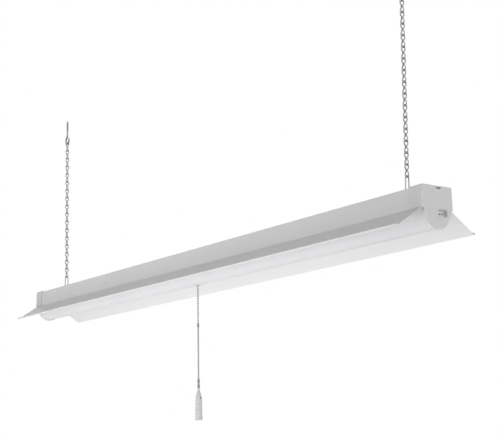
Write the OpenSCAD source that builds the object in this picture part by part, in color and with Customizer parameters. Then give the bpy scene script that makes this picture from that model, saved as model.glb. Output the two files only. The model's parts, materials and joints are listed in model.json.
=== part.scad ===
// Hanging LED shop light on two jack chains, in millimetres.
// +Z is up and +X runs along the light towards the end with the link socket.
// The origin is on the ceiling, midway between the two screw hooks.

/* [Housing] */
// Length over both end caps
body_length = 1210; // [1150:5:1500]
// Width of the channel across its top
channel_top_width = 52; // [50:0.5:60]
// How far each channel side leans out at the fold
channel_splay = 1.5; // [0:0.1:2.5]
// Height of the channel from its top to the fold
channel_height = 30.5; // [30:0.5:40]
// Reach of each reflector wing beyond the fold
wing_reach = 42; // [36:0.5:60]
// Drop of each reflector wing below the fold
wing_drop = 28; // [22:0.5:34]
// Thickness of the housing's sheet steel
sheet = 0.7; // [0.5:0.1:1]
// Outer radius of the rolled hem along each wing
hem_radius = 1.7; // [1.4:0.1:2.4]

/* [End caps] */
// Thickness of a cap's end plate
cap_plate = 2; // [1.6:0.1:3]
// Wall of a cap's skirts
cap_wall = 1.3; // [1:0.1:2]
// Length of the skirt over the channel
cap_skirt = 22; // [16:1:30]
// Length of the skirt round the lens
lens_skirt = 6; // [4:0.5:10]
// Clearance between a cap and what it covers
cap_fit = 0.15; // [0.1:0.05:0.4]
// Radius of a cap's two upper corners
cap_corner = 2.5; // [1:0.5:4]
// Width of the latch window near a cap's top
latch_width = 9; // [6:0.5:12]
// Height of the latch window near a cap's top
latch_height = 2.6; // [2:0.1:3]
// Distance of the latch from the middle of a cap
latch_offset = 3; // [0:0.5:5]
// Width of the guide rib on the socket's cap
rib_width = 4.5; // [3:0.5:5]
// Height of the guide rib on the socket's cap
rib_height = 12; // [8:1:13]

/* [Link socket and cord inlet] */
// Width of the link socket's opening
socket_width = 18; // [16:0.5:19]
// Height of the link socket's opening
socket_height = 11.4; // [10:0.2:12]
// Depth of the socket's recess
socket_recess = 7; // [5:0.5:9]
// Depth of the socket behind the cap's plate
socket_depth = 20; // [16:1:24]
// Spacing of the three socket contacts
contact_spacing = 4.9; // [4.5:0.1:5]
// Bore of the bushing where a supply cord goes in
inlet_bore = 8; // [6:0.5:9]
// Distance of the cord inlet below the channel's top
inlet_drop = 14; // [13:0.5:16]

/* [Lens] */
// Outer width of the lens
lens_width = 44; // [42:0.5:46]
// Depth of the lens's lowest point below the channel's top
lens_drop = 57.5; // [54:0.5:64]
// Wall of the lens
lens_wall = 1.2; // [1:0.1:1.6]
// Clearance between the lens and its track
lens_fit = 0.3; // [0.2:0.05:0.4]

/* [Gear tray and light boards] */
// Gap between the gear tray's end and the link socket's contacts
tray_end_gap = 9; // [8:0.5:20]
// Height of the tray's face above the fold
tray_rise = 2; // [1.5:0.1:3]
// Thickness of the tray's sheet steel
tray_sheet = 0.7; // [0.5:0.1:1]
// Gap between the tray and the channel at each side
tray_gap = 0.5; // [0.3:0.1:0.6]
// Width of a light board
board_width = 24; // [20:0.5:26]
// Thickness of a light board
board_thickness = 1.2; // [1:0.1:1.6]
// Number of light-emitting diodes in one row of a board
led_count = 12; // [6:1:16]
// Spacing of a board's two rows of diodes
led_row_spacing = 10; // [8:0.5:12]

/* [Driver] */
// Length of the driver's case
driver_length = 160; // [120:5:180]
// Clearance between the driver's case and the wires beside it
driver_gap = 2.1; // [1.5:0.1:4]
// Height of the driver's case
driver_height = 22; // [18:0.5:24]
// Wall of the driver's case
driver_wall = 1.5; // [1.2:0.1:2]

/* [Pull switch] */
// Length of the switch's case along the light
switch_length = 28; // [24:1:34]
// Width of the switch's case across the light
switch_width = 22; // [20:1:26]
// Wall of the switch's case
switch_wall = 1.2; // [1:0.1:1.6]
// Radius of the neck that goes through the tray
neck_radius = 4.75; // [4.2:0.05:5]
// Length of the neck below the case
neck_length = 10; // [8:0.5:12]
// Radius of the plunger's stem
stem_radius = 1.9; // [1.6:0.05:2]
// How far the cord pulls the plunger down
pull_travel = 8; // [6:0.5:10]

/* [Pull chain and knob] */
// Radius of a bead
bead_radius = 1.6; // [1.4:0.05:1.7]
// Spacing of the beads
bead_pitch = 4.25; // [4:0.05:4.8]
// Number of beads below the swivel bead
bead_count = 14; // [8:1:20]
// Diameter of the pull cord
cord_width = 2.8; // [2:0.1:3.2]
// Length of the connector between the bead chain and the pull cord
connector_length = 5.5; // [4:0.5:8]
// Length of the coupling above the knob
coupling_length = 17; // [14:0.5:22]
// Length of the knob
knob_length = 55.5; // [45:0.5:70]
// Radius of the knob's lower end
knob_radius = 6.4; // [5.4:0.1:8]

/* [Hanging chains] */
// Distance of the hanger's holes from the end with the link socket
inset_socket_end = 58; // [50:1:110]
// Distance of the hanger's holes from the end with the cord inlet
inset_inlet_end = 88; // [76:1:110]
// Length that one chain link adds
link_pitch = 17; // [15:0.5:19]
// Outer width of a chain link
link_width = 8.6; // [8.2:0.1:9.6]
// Diameter of the chain's wire
link_wire = 2; // [1.8:0.05:2.1]
// Number of links in a chain, its end links included
link_count = 17; // [6:1:30]
// Height of a V-hook above the channel
vhook_height = 28; // [22:1:36]
// Distance between the feet of a V-hook
vhook_spread = 7; // [6.6:0.2:12]
// Diameter of a V-hook's wire
vhook_wire = 2; // [1.8:0.1:2.2]
// Clearance between two links
link_gap = 0.3; // [0.2:0.05:0.4]

/* [Ceiling hooks] */
// Radius of a ceiling hook's bend, to the middle of its wire
hook_radius = 7; // [6:0.5:10]
// Length of the straight neck below the ceiling
hook_neck = 10; // [8:0.5:14]
// Length of the screw shank above the ceiling
hook_screw = 22; // [16:1:30]

/* [Hidden] */
$fn = 48;
hem_gap = 0.1;                               // gap between a hem's end and its wing
cap_play = 0.2;                              // clearance between a cap and the link socket
slip = 0.3;                                  // clearance between pieces that move apart
thin = 0.15;                                 // clearance round a fixed wire
seat = 0.02;                                 // clearance under a round piece that bears on a face
reach_over = 1;                              // how far a cutter runs past a face

contact_tail = 4;                            // reach of the contacts behind the link socket
hook_play = 0.4;                             // clearance between a ceiling hook and its link
hook_wire = link_width - 2*link_wire - 2*hook_play;
thread_rise = 0.3;                           // rolled thread, a little thicker than the wire
screw_radius = hook_wire/2 + thread_rise;

// Heights in the frame of the channel, whose top is at z = 0
fold_half = channel_top_width/2 + channel_splay;
top_half = channel_top_width/2;
wing_tip = [fold_half + wing_reach, -(channel_height + wing_drop)];
end_x = body_length/2;
plate_x = end_x - cap_plate;
housing_half = plate_x - cap_fit;
lens_radius = lens_width/2;
lens_axis = -(lens_drop - lens_radius);
tray_top = -(channel_height - tray_rise);
tray_face = tray_top - tray_sheet;
lean = channel_splay/channel_height;
contact_back = plate_x - socket_depth - contact_tail;
tray_reach = contact_back - tray_end_gap;
tray_half = top_half - lean*tray_top - sheet - tray_gap;
lip = lens_wall;                             // height of the lens's lip
track_top = tray_face - lens_fit - lip - lens_fit;
track_low = track_top - tray_sheet;
lens_end = plate_x - 2.5;
socket_z = lens_axis;
socket_play = 0.8;                           // clearance between the link socket and the lens
socket_half = socket_width/2 - cap_play;
socket_tall = socket_height/2 - cap_play;
socket_corner = lens_radius - lens_wall - socket_play;
socket_offset = sqrt(pow(socket_corner, 2) - pow(socket_tall, 2)) - socket_half;
board_face = tray_face - board_thickness;

// Hanging
hook_low = -(hook_neck + 2*hook_radius);
loop_radius = (link_width - link_wire)/2;
loop_height = (link_pitch + link_wire + link_gap)/2;
link_reach = 2*loop_height;
first_link = hook_low + (hook_wire + link_wire)/2 + link_gap;
last_low = first_link - (link_count - 1)*link_pitch - link_reach;
apex = last_low + (link_wire + vhook_wire)/2 + link_gap;
body_top = apex + vhook_wire/2 - vhook_height;
chain_span = body_length - inset_socket_end - inset_inlet_end;
body_shift = (inset_inlet_end - inset_socket_end)/-2;
vhook_bend = 3;                              // radius of the V-hook's bend
vhook_foot = 6;                              // length of a foot under the sheet
vhook_hole = vhook_wire/2 + 0.8;

// Pull switch
floor_thick = 1.5;
floor_top = tray_top + floor_thick;
cover_thick = 1.5;
flange_thick = 1.6;
stop_length = 3.1;
spring_room = 4;                             // height left for the closed spring
switch_height = floor_thick + spring_room + pull_travel + flange_thick + slip + stop_length
    + cover_thick;
cover_low = tray_top + switch_height - cover_thick;
switch_z = tray_top + switch_height/2;       // height of the switch's leads
blade_x = switch_wall + 1.3 - switch_length/2;
flange_radius = stem_radius + 1.7;
flange_top = cover_low - stop_length - slip;
flange_low = flange_top - flange_thick;
neck_low = tray_top - neck_length;
neck_bore = stem_radius + 0.5;
stem_low = neck_low + 1.5;
ledge_inner = flange_radius + 0.6;
ledge_outer = 7.5;
ledge_height = 2.7;
rotor_thick = 3.6;
rotor_outer = 8;
nut_flats = 14;
nut_thick = 3;
spring_wire = 0.6;
spring_radius = stem_radius + spring_wire/2 + 0.55;
spring_turns = 5;

// Pull chain: the last bead of the upper chain hangs just below the eyelet
eyelet_flange = 1.2;
eyelet_radius = 5;
eyelet_bore = bead_radius + 0.6;
pivot_z = -lens_drop - eyelet_flange - 1.5;
bead_wire = 0.35;
stub = bead_radius + slip;
swivel_z = pivot_z - bead_pitch;
bead_low = swivel_z - bead_count*bead_pitch;
upper_beads = floor((stem_low - bead_radius - slip - pivot_z)/bead_pitch);
connector_top = bead_low - stub;
connector_low = connector_top - connector_length;
cord_points = [                              // x, z below the connector, chosen by hand
    [0, 0], [0, -4.5], [0, -9], [0, -13.5], [0, -18], [0, -22.5], [0, -27], [0, -31.5],
    [0, -36], [0, -40.5], [0, -45], [0, -49.5], [0, -54], [0, -58.5], [0, -63], [0, -67.5],
    [0, -72], [0, -76.5], [0, -81], [0, -85.5], [0, -89.8]];
cord_length = -cord_points[len(cord_points) - 1][1];
coupling_top = connector_low - cord_length;
knob_top = coupling_top - coupling_length;

// Wiring lanes: y and z of each lane, in the frame of the channel
wire_radius = 1.1;
lane_pitch = 3;
lane_z = -4.2;
lane_y = top_half - sheet - 3.1;
line_lane = [-lane_y, lane_z];
feed_lane = [-lane_y, lane_z - lane_pitch];
load_lane = [-lane_y + lane_pitch, lane_z];
neutral_lane = [lane_y, lane_z];
ground_lane = [lane_y - lane_pitch, lane_z];
splice_inset = 25;
splice_x = splice_inset - tray_reach;        // mouths of the wire nuts
splice_pitch = 14;
nut_length = 18;
nut_mouth = 7;
splice_z = tray_top + nut_mouth + slip;
lead_ramp = 30;                              // length over which a wire climbs to its lane
lead_straight = 8;                           // straight length of a wire at its end
lead_inset = 12;                             // distance from a driver's end to its leads' joints
wire_bend = 3;                               // length of a wire's bend, each side of its corner
ground_offset = [42, 0];                     // from the wire nuts' mouths, between the V-hook's feet
ground_place = [splice_x + ground_offset[0], ground_offset[1]];
lug_reach = 7;                               // reach of the ground screw's crimped lug
driver_x = -250;
driver_half = lane_y - lane_pitch - wire_radius - driver_gap;
driver_ends = [driver_x - driver_length/2, driver_x + driver_length/2];
driver_screw_inset = 12;
driver_screws_x = [driver_ends[0] + driver_screw_inset, driver_ends[1] - driver_screw_inset];
driver_low = -sheet - driver_height;
lid_play = 0.1;                              // clearance round the driver's lid
post = 1.6;                                  // height of the posts under the driver's board
driver_board_thick = 1.4;
driver_board_top = driver_low + driver_wall + post + driver_board_thick;
lead_z = -sheet - driver_height/2;
lead_y = 5;                                  // offset of the leads at the driver and the switch
bracket_half = 14;
bracket_foot = 6.5;
bracket_width = 20;
screw_lane = bracket_half + bracket_foot/2;
grommet_radius = 3.6;
grommet_gap = 0.6;
feed_inset = 20;                             // from the driver's end to the hole for its leads
feed_hole = [driver_ends[1] + feed_inset, lens_radius - lens_wall - grommet_radius - grommet_gap];
bracket_inset = 90;
bracket_places = [bracket_inset - tray_reach, feed_hole[0] + 2*bracket_width,
    switch_length + 4*bracket_width, tray_reach - bracket_inset];
clip_width = 6;
clip_places = [bracket_inset + bracket_width/2 - tray_reach, -switch_length/2 - lead_ramp - 16,
    switch_length/2 + lead_ramp + 16, tray_reach/2, tray_reach - bracket_inset + bracket_width];

// Light boards: two each side of the pull switch
board_gap = 3;
board_start = switch_length/2 + 1;
board_end = tray_reach - 10;
board_screw_inset = 4;
board_length = (board_end - board_start - board_gap)/2;
led_inset = 12;                              // distance from a board's end to its first diodes
chip = [3.5, 2.8, 0.8];
jumper_height = 2.6;
jumper_lap = 5;                              // length of a jumper on each board
board_starts = [-board_end, -board_start - board_length, board_start, board_end - board_length];

// ---- Helpers -------------------------------------------------------------

function unit(v) = v/norm(v);

// A corner of an outline moved inwards between two edges with unit normals n1 and n2
function inner_corner(p, n1, n2, t) = p + t*(n1 + n2)/(1 + n1*n2);

function flip(points) = [for (k = [len(points) - 1 : -1 : 0]) [-points[k][0], points[k][1]]];

function arc(c, r, from, to, steps) =
    [for (k = [0 : steps]) c + r*[cos(from + (to - from)*k/steps), sin(from + (to - from)*k/steps)]];

// A route with each inner corner rounded over a distance b
function rounded(p, b) = [
    p[0],
    for (i = [1 : len(p) - 2])
        let(a = unit(p[i - 1] - p[i]), c = unit(p[i + 1] - p[i]))
        for (t = [0 : 0.5 : 1])
            (1 - t)*(1 - t)*(p[i] + b*a) + 2*t*(1 - t)*p[i] + t*t*(p[i] + b*c),
    p[len(p) - 1]];

function tangents(p) = [
    for (i = [0 : len(p) - 1])
        unit(p[min(i + 1, len(p) - 1)] - p[max(i - 1, 0)])];

function sideways(t) = unit(cross(t, abs(t[2]) < 0.9 ? [0, 0, 1] : [1, 0, 0]));

// One unit vector a ring, square to the route and turned as little as possible
function frames(t) = [
    for (i = 0, u = sideways(t[0]); i < len(t);
        i = i + 1, u = i < len(t) ? unit(u - (u*t[i])*t[i]) : u) u];

module swept(p, r, sides = 8) {
    t = tangents(p);
    u = frames(t);
    last = len(p) - 1;
    rings = [
        for (i = [0 : last], k = [0 : sides - 1])
            p[i] + r*(cos(360*k/sides)*u[i] + sin(360*k/sides)*cross(t[i], u[i]))];
    walls = [
        for (i = [0 : last - 1], k = [0 : sides - 1], half = [0, 1])
            let(a = i*sides + k, b = i*sides + (k + 1)%sides)
            half == 0 ? [a, a + sides, b] : [b, a + sides, b + sides]];
    ends = [
        for (k = [1 : sides - 2]) [0, k, k + 1],
        for (k = [1 : sides - 2]) [last*sides, last*sides + k + 1, last*sides + k]];
    polyhedron(rings, concat(walls, ends), convexity = 6);
}

// A straight round bar between two points
module bar(a, b, r) {
    d = b - a;
    translate(a)
        rotate([0, acos(d[2]/norm(d)), atan2(d[1], d[0])])
            cylinder(h = norm(d), r = r);
}

// An outline in the light's cross-section (y, z), run along the light
module along_x(from, to) {
    translate([from, 0, 0]) rotate([90, 0, 90]) linear_extrude(to - from) children();
}

module on_body() {
    translate([body_shift, 0, body_top]) children();
}

module block(low, high) {
    translate(low) cube(high - low);
}

// A pan-head screw standing on its head, with its shank upwards
module pan_screw(head, head_height, shank, length) {
    translate([0, 0, -head_height]) cylinder(h = head_height, r = head);
    cylinder(h = length, r = shank);
}

// ---- Hanging hardware ----------------------------------------------------

module ceiling_hook(x) {
    color("silver") translate([x, 0, 0]) {
        tip = 5;
        translate([0, 0, -hook_neck]) cylinder(h = hook_neck, r = hook_wire/2);
        cylinder(h = hook_screw, r = screw_radius);
        translate([0, 0, hook_screw]) cylinder(h = tip, r1 = screw_radius, r2 = 0.3);
        translate([0, 0, -hook_neck - hook_radius]) rotate([90, 0, 0]) {
            rotate([0, 0, 90]) rotate_extrude(angle = 300)
                translate([hook_radius, 0]) circle(d = hook_wire);
            rotate([0, 0, 30]) translate([hook_radius, 0, 0]) sphere(d = 1.02*hook_wire);
        }
    }
}

// An upright closed loop of wire in the XZ plane, its upper wire at z = 0
module wire_loop(height, radius, wire) {
    straight = height - 2*radius;
    translate([0, 0, -radius]) rotate([90, 0, 0])
        rotate_extrude(angle = 180) translate([radius, 0]) circle(d = wire, $fn = 24);
    translate([0, 0, -radius - straight]) rotate([90, 0, 0]) rotate([0, 0, 180])
        rotate_extrude(angle = 180) translate([radius, 0]) circle(d = wire, $fn = 24);
    for (side = [-1, 1])
        translate([side*radius, 0, -radius - straight]) cylinder(h = straight, d = wire, $fn = 24);
}

// A link is bent to a figure of eight, with its two loops square to each other
module link() {
    rotate([0, 0, 90]) wire_loop(loop_height, loop_radius, link_wire);
    translate([0, 0, -loop_height]) wire_loop(loop_height, loop_radius, link_wire);
}

module links(side, first, last) {
    color("gainsboro")
        for (k = [first : last])
            translate([side*chain_span/2, 0, first_link - k*link_pitch]) link();
}

module v_hook(side) {
    centre = vhook_height - vhook_wire/2 - vhook_bend;
    foot_z = -sheet - seat - vhook_wire/2;
    foot_y = vhook_spread/2;
    distance = norm([foot_y, foot_z - centre]);
    tangent = atan2(foot_z - centre, foot_y) + acos(vhook_bend/distance);
    touch = [0, vhook_bend*cos(tangent), centre + vhook_bend*sin(tangent)];
    color("silver") translate([side*chain_span/2, 0, body_top]) {
        translate([0, 0, centre]) rotate([90, 0, 90]) rotate([0, 0, tangent])
            rotate_extrude(angle = 180 - 2*tangent)
                translate([vhook_bend, 0]) circle(d = vhook_wire, $fn = 24);
        for (way = [0, 1]) mirror([0, way, 0]) {
            translate(touch) sphere(d = 1.02*vhook_wire);
            bar(touch, [0, foot_y, foot_z], vhook_wire/2);
            translate([0, foot_y, foot_z]) sphere(d = 1.02*vhook_wire);
            bar([0, foot_y, foot_z], [0, foot_y + vhook_foot, foot_z], vhook_wire/2);
        }
    }
}

// ---- Housing and caps ----------------------------------------------------

side_normal = unit([-channel_height, -channel_splay]);
wing_normal = unit([-wing_drop, -wing_reach]);

// Half of the channel's outer outline, grown by g, with round upper corners
function upper_half(g) =
    let(out = top_half + g, low = fold_half + g, r = cap_corner,
        slope = (low - out)/channel_height, top = [out - r + slope*(g + r), g - r])
    concat([[0, g]], arc(top, r, 90, 0, 4), [[low, -channel_height]]);

module channel_outline(g) {
    half = upper_half(g);
    polygon(concat(flip(half), half));
}

module sharp_channel(g) {
    polygon([[-fold_half - g, -channel_height - g - reach_over], [-top_half - g, g],
        [top_half + g, g], [fold_half + g, -channel_height - g - reach_over]]);
}

module housing_outline() {
    corner = [top_half, 0];
    fold = [fold_half, -channel_height];
    bore = hem_radius - sheet;
    roll = wing_tip - bore*wing_normal;
    start = atan2(wing_normal[1], wing_normal[0]);
    end = start + 360 - acos((bore - hem_gap)/hem_radius);
    half = concat([[0, 0], corner, fold], arc(roll, bore, start, end, 14),
        arc(roll, hem_radius, end, start, 14),
        [inner_corner(fold, side_normal, wing_normal, sheet),
            inner_corner(corner, [0, -1], side_normal, sheet), [0, -sheet]]);
    polygon(concat(half, flip(half)));
}

module housing() {
    color("whitesmoke") on_body() difference() {
        along_x(-housing_half, housing_half) housing_outline();
        for (side = [-1, 1], way = [-1, 1])
            translate([side*chain_span/2 - body_shift, way*vhook_spread/2, -2])
                cylinder(h = 4, r = vhook_hole);
        for (x = driver_screws_x) translate([x, 0, -2]) cylinder(h = 4, r = 1.7);
        translate([ground_place[0], ground_place[1], -2]) cylinder(h = 4, r = 2.1);
        for (side = [-1, 1])
            block([side*latch_hook_x - latch_hook/2 - slip, side*latch_offset - latch_width/2, -2],
                [side*latch_hook_x + latch_hook/2 + slip, side*latch_offset + latch_width/2, 1]);
    }
}

latch_hook = 3;                              // length of the latch's hook along the light
latch_hook_x = housing_half - 9;
tongue_top = -latch_height;
tongue_thick = 1.6;

module cap_plate_outline() {
    round_low = lens_radius + cap_fit + cap_wall;
    channel_outline(cap_fit + cap_wall);
    translate([0, lens_axis]) circle(r = round_low);
    translate([-round_low, lens_axis]) square([2*round_low, -lens_axis - channel_height + 1]);
}

// A cap for the +X end: plate, skirt over the channel, skirt round the lens and latch
module cap() {
    low = -channel_height - cap_fit;
    difference() {
        union() {
            along_x(plate_x, end_x) cap_plate_outline();
            along_x(plate_x - cap_skirt, plate_x) difference() {
                channel_outline(cap_fit + cap_wall);
                sharp_channel(cap_fit);
                translate([-2*fold_half, -2*channel_height])
                    square([4*fold_half, channel_height + 1]);
            }
            along_x(plate_x - lens_skirt, plate_x) difference() {
                translate([0, lens_axis]) circle(r = lens_radius + cap_fit + cap_wall);
                translate([0, lens_axis]) circle(r = lens_radius + cap_fit);
                translate([-2*lens_radius, lens_axis]) square(4*lens_radius);
            }
            block([latch_hook_x - latch_hook/2, latch_offset - latch_width/2 + slip,
                tongue_top - tongue_thick],
                [plate_x, latch_offset + latch_width/2 - slip, tongue_top]);
            block([latch_hook_x - latch_hook/2, latch_offset - latch_width/2 + slip,
                tongue_top - tongue_thick],
                [latch_hook_x + latch_hook/2, latch_offset + latch_width/2 - slip, -0.1]);
        }
        block([plate_x - reach_over, latch_offset - latch_width/2, -latch_height],
            [end_x + reach_over, latch_offset + latch_width/2, 0]);
        children();
    }
}

module socket_outline(g) {
    w = socket_width/2 + g;
    h = socket_height/2 + g;
    r = 1.5;
    translate([socket_offset, socket_z])
        polygon(concat(arc([w - r, h - r], r, 0, 90, 4), arc([r - w, h - r], r, 90, 180, 4),
            arc([r - w, r - h], r, 180, 270, 4), arc([w - r, r - h], r, 270, 360, 4)));
}

module end_cap_link_end() {
    rib_x = end_x + 1.2;
    rib_y = -15;
    color("gainsboro") on_body() {
        cap() along_x(plate_x - reach_over, end_x + reach_over) socket_outline(0);
        block([end_x - 0.5, rib_y - rib_width/2, socket_z - rib_height/2],
            [rib_x, rib_y + rib_width/2, socket_z + rib_height/2]);
    }
}

module end_cap_cord_end() {
    color("gainsboro") on_body() rotate([0, 0, 180]) cap()
        translate([plate_x - reach_over, 0, -inlet_drop]) rotate([0, 90, 0])
            cylinder(h = cap_plate + 2*reach_over, r = inlet_bore/2 + 2);
}

module link_receptacle() {
    color("white") on_body() difference() {
        union() {
            along_x(plate_x - socket_depth, end_x) socket_outline(-cap_play);
            along_x(plate_x - 1.5, plate_x) socket_outline(1);
        }
        along_x(end_x - socket_recess, end_x + reach_over) socket_outline(-1.2);
        for (k = [-1, 0, 1])
            translate([plate_x - socket_depth - reach_over, socket_offset + k*contact_spacing,
                socket_z]) rotate([0, 90, 0]) cylinder(h = socket_depth + 2, r = 1.25);
    }
}

module receptacle_contacts() {
    color("goldenrod") on_body() for (k = [-1, 0, 1])
        translate([plate_x - socket_depth - 4, socket_offset + k*contact_spacing, socket_z])
            rotate([0, 90, 0]) difference() {
                cylinder(h = socket_depth - 2, r = 1.2);
                translate([0, 0, 6]) cylinder(h = socket_depth, r = 0.8);
            }
}

module cord_gland() {
    radius = inlet_bore/2 + 1.9;
    color("dimgray") on_body() translate([-end_x, 0, -inlet_drop]) rotate([0, 90, 0])
        difference() {
            union() {
                translate([0, 0, -1.8]) cylinder(h = 1.8, r = radius + 1.8);
                cylinder(h = cap_plate + 5, r = radius);
                translate([0, 0, cap_plate]) cylinder(h = 1.5, r = radius + 1);
            }
            translate([0, 0, -3]) cylinder(h = cap_plate + 10, r = inlet_bore/2);
        }
}

// ---- Lens, tray and light boards -----------------------------------------

module lens_outline() {
    lip_out = tray_half - tray_sheet - lens_fit;
    lip_top = tray_face - lens_fit;
    difference() {
        union() {
            translate([0, lens_axis]) circle(r = lens_radius, $fn = 96);
            translate([-lens_radius, lens_axis]) square([2*lens_radius, lip_top - lens_axis]);
            translate([-lip_out, lip_top - lip]) square([2*lip_out, lip]);
        }
        translate([0, lens_axis]) circle(r = lens_radius - lens_wall, $fn = 96);
        translate([lens_wall - lens_radius, lens_axis])
            square([2*(lens_radius - lens_wall), lip_top - lens_axis + reach_over]);
        translate([-2*lens_radius, lip_top]) square(4*lens_radius);
    }
}

module lens() {
    color("white", 0.8) on_body() difference() {
        along_x(-lens_end, lens_end) lens_outline();
        translate([0, 0, -lens_drop - 1]) cylinder(h = 4, r = eyelet_bore + 0.8);
    }
}

module lens_grommet() {
    color("white") on_body() translate([0, 0, -lens_drop - eyelet_flange]) difference() {
        union() {
            cylinder(h = eyelet_flange, r = eyelet_radius);
            cylinder(h = eyelet_flange + lens_wall + 1, r = eyelet_bore + 0.6);
        }
        translate([0, 0, -1]) cylinder(h = 10, r = eyelet_bore);
    }
}

module gear_tray() {
    low_out = tray_half;
    lips = lens_radius + lens_fit;
    outline = [[0, tray_top], [low_out, tray_top], [low_out, track_low], [lips, track_low],
        [lips, track_top], [low_out - tray_sheet, track_top], [low_out - tray_sheet, tray_face],
        [0, tray_face]];
    color("white") on_body() difference() {
        along_x(-tray_reach, tray_reach) polygon(concat(outline, flip(outline)));
        translate([0, 0, tray_top - 3]) cylinder(h = 6, r = neck_radius + 0.3);
        translate([feed_hole[0], feed_hole[1], tray_top - 3])
            cylinder(h = 6, r = grommet_radius - 0.6);
        for (x = bracket_places, side = [-1, 1])
            translate([x, side*screw_lane, tray_top - 3]) cylinder(h = 6, r = 1.65);
        for (x = board_starts, k = [0, 1])
            translate([x + board_screw(k), 0, tray_top - 3]) cylinder(h = 6, r = 1.4);
    }
}

module tray_brackets() {
    half = [[0, -sheet], [bracket_half, -sheet], [bracket_half, tray_top + tray_sheet],
        [bracket_half + bracket_foot, tray_top + tray_sheet], [bracket_half + bracket_foot, tray_top],
        [bracket_half - tray_sheet, tray_top], [bracket_half - tray_sheet, -sheet - tray_sheet],
        [0, -sheet - tray_sheet]];
    color("silver") on_body() difference() {
        for (x = bracket_places)
            along_x(x - bracket_width/2, x + bracket_width/2) polygon(concat(half, flip(half)));
        for (x = bracket_places, side = [-1, 1])
            translate([x, side*screw_lane, tray_top - 3]) cylinder(h = 6, r = 1.65);
    }
}

module tray_screws() {
    color("silver") on_body() for (x = bracket_places, side = [-1, 1])
        translate([x, side*screw_lane, tray_face]) pan_screw(2.6, 1.5, 1.5, 5);
}

module tray_grommet() {
    color("dimgray") on_body() translate([feed_hole[0], feed_hole[1], tray_face - 1]) difference() {
        union() {
            cylinder(h = 1, r = grommet_radius);
            cylinder(h = tray_sheet + 2, r = grommet_radius - 0.7);
            translate([0, 0, tray_sheet + 1]) cylinder(h = 1, r = grommet_radius - 0.2);
        }
        translate([0, 0, -1]) cylinder(h = 6, r = grommet_radius - 1.4);
    }
}

function board_screw(k) = board_screw_inset + k*(board_length - 2*board_screw_inset);

module led_boards() {
    color("white") on_body() for (x = board_starts) difference() {
        block([x, -board_width/2, board_face], [x + board_length, board_width/2, tray_face]);
        for (k = [0, 1]) translate([x + board_screw(k), 0, board_face - 1])
            cylinder(h = board_thickness + 2, r = 1.6);
    }
}

module led_chips() {
    pitch = (board_length - 2*led_inset)/(led_count - 1);
    color("khaki") on_body() for (x = board_starts, k = [0 : led_count - 1], side = [-1, 1])
        translate([x + led_inset + k*pitch, side*led_row_spacing/2, board_face - chip[2]])
            translate([-chip[0]/2, -chip[1]/2, 0]) cube(chip);
}

module board_screws() {
    color("silver") on_body() for (x = board_starts, k = [0, 1])
        translate([x + board_screw(k), 0, board_face]) pan_screw(2.6, 1.4, 1.3, 4);
}

// Plug-in jumpers that carry the supply from one board to the next
module board_jumpers() {
    outer_y = board_width/2 - 1.5;
    inner_y = max((led_row_spacing + chip[1])/2, nut_flats/2) + 0.5;
    mid = (outer_y + inner_y)/2;
    wide = outer_y - inner_y;
    gaps = [board_starts[0] + board_length, board_starts[2] + board_length];
    color("ivory") on_body() {
        for (x = gaps, side = [-1, 1])
            block([x - jumper_lap, side*mid - wide/2, board_face - jumper_height],
                [x + board_gap + jumper_lap, side*mid + wide/2, board_face]);
        for (side = [-1, 1])
            block([-board_start - jumper_lap, side*mid - wide/2, board_face - jumper_height],
                [board_start + jumper_lap, side*mid + wide/2, board_face]);
    }
}

// ---- Driver --------------------------------------------------------------

module driver_case() {
    w = driver_half;
    color("lightgray") on_body() difference() {
        block([driver_ends[0], -w, driver_low], [driver_ends[1], w, -sheet]);
        block([driver_ends[0] + driver_wall, driver_wall - w, driver_low - 1],
            [driver_ends[1] - driver_wall, w - driver_wall, -sheet - driver_wall]);
        for (x = driver_screws_x) translate([x, 0, -6]) cylinder(h = 10, r = 1.3);
        for (y = [-lead_y, lead_y]) translate([driver_ends[0] - 1, y, lead_z])
            rotate([0, 90, 0]) cylinder(h = driver_length + 2, r = wire_radius + thin);
    }
}

module driver_lid() {
    edge = driver_wall + lid_play;
    color("lightgray") on_body()
        block([driver_ends[0] + edge, edge - driver_half, driver_low],
            [driver_ends[1] - edge, driver_half - edge, driver_low + driver_wall]);
}

// The circuit board stands on the lid's posts, with its main components on it
module driver_board() {
    ends = [driver_ends[0] + 8, driver_ends[1] - 8];
    w = driver_half - driver_wall - 1;
    part_height = -sheet - driver_wall - driver_board_top - 5;
    part_low = driver_board_top - 0.1;
    unit_x = driver_length/16;
    color("darkgreen") on_body() {
        block([ends[0], -w, driver_board_top - driver_board_thick], [ends[1], w, driver_board_top]);
        for (x = [ends[0] + 5, ends[1] - 5], y = [4 - w, w - 4])
            translate([x, y, driver_low + driver_wall]) cylinder(h = post + 0.5, r = 2);
        block([driver_x - unit_x, -0.65*w, part_low],
            [driver_x + unit_x, 0.65*w, part_low + part_height]);
        for (k = [-5, -3.2]) translate([driver_x + k*unit_x, 0, part_low])
            cylinder(h = 0.9*part_height, r = 0.4*w);
        translate([driver_x + 4*unit_x, 2, part_low]) cylinder(h = 0.9*part_height, r = 0.35*w);
        block([driver_x + 2.2*unit_x, -0.65*w, part_low],
            [driver_x + 2.7*unit_x, 0.65*w, part_low + 0.9*part_height]);
    }
}

module driver_screws() {
    color("silver") on_body() for (x = driver_screws_x)
        mirror([0, 0, 1]) translate([x, 0, 0]) pan_screw(3, 1.6, 1.25, 5.5);
}

// ---- Wiring --------------------------------------------------------------

module ground_screw() {
    color("forestgreen") on_body() translate([ground_place[0], ground_place[1], -sheet - 1]) {
        pan_screw(3.4, 2, 1.95, 3);
        cylinder(h = 1, r = 4);
        block([-lug_reach, -1.2, -0.6], [-3, 1.2, 0.8]);
    }
}

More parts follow.
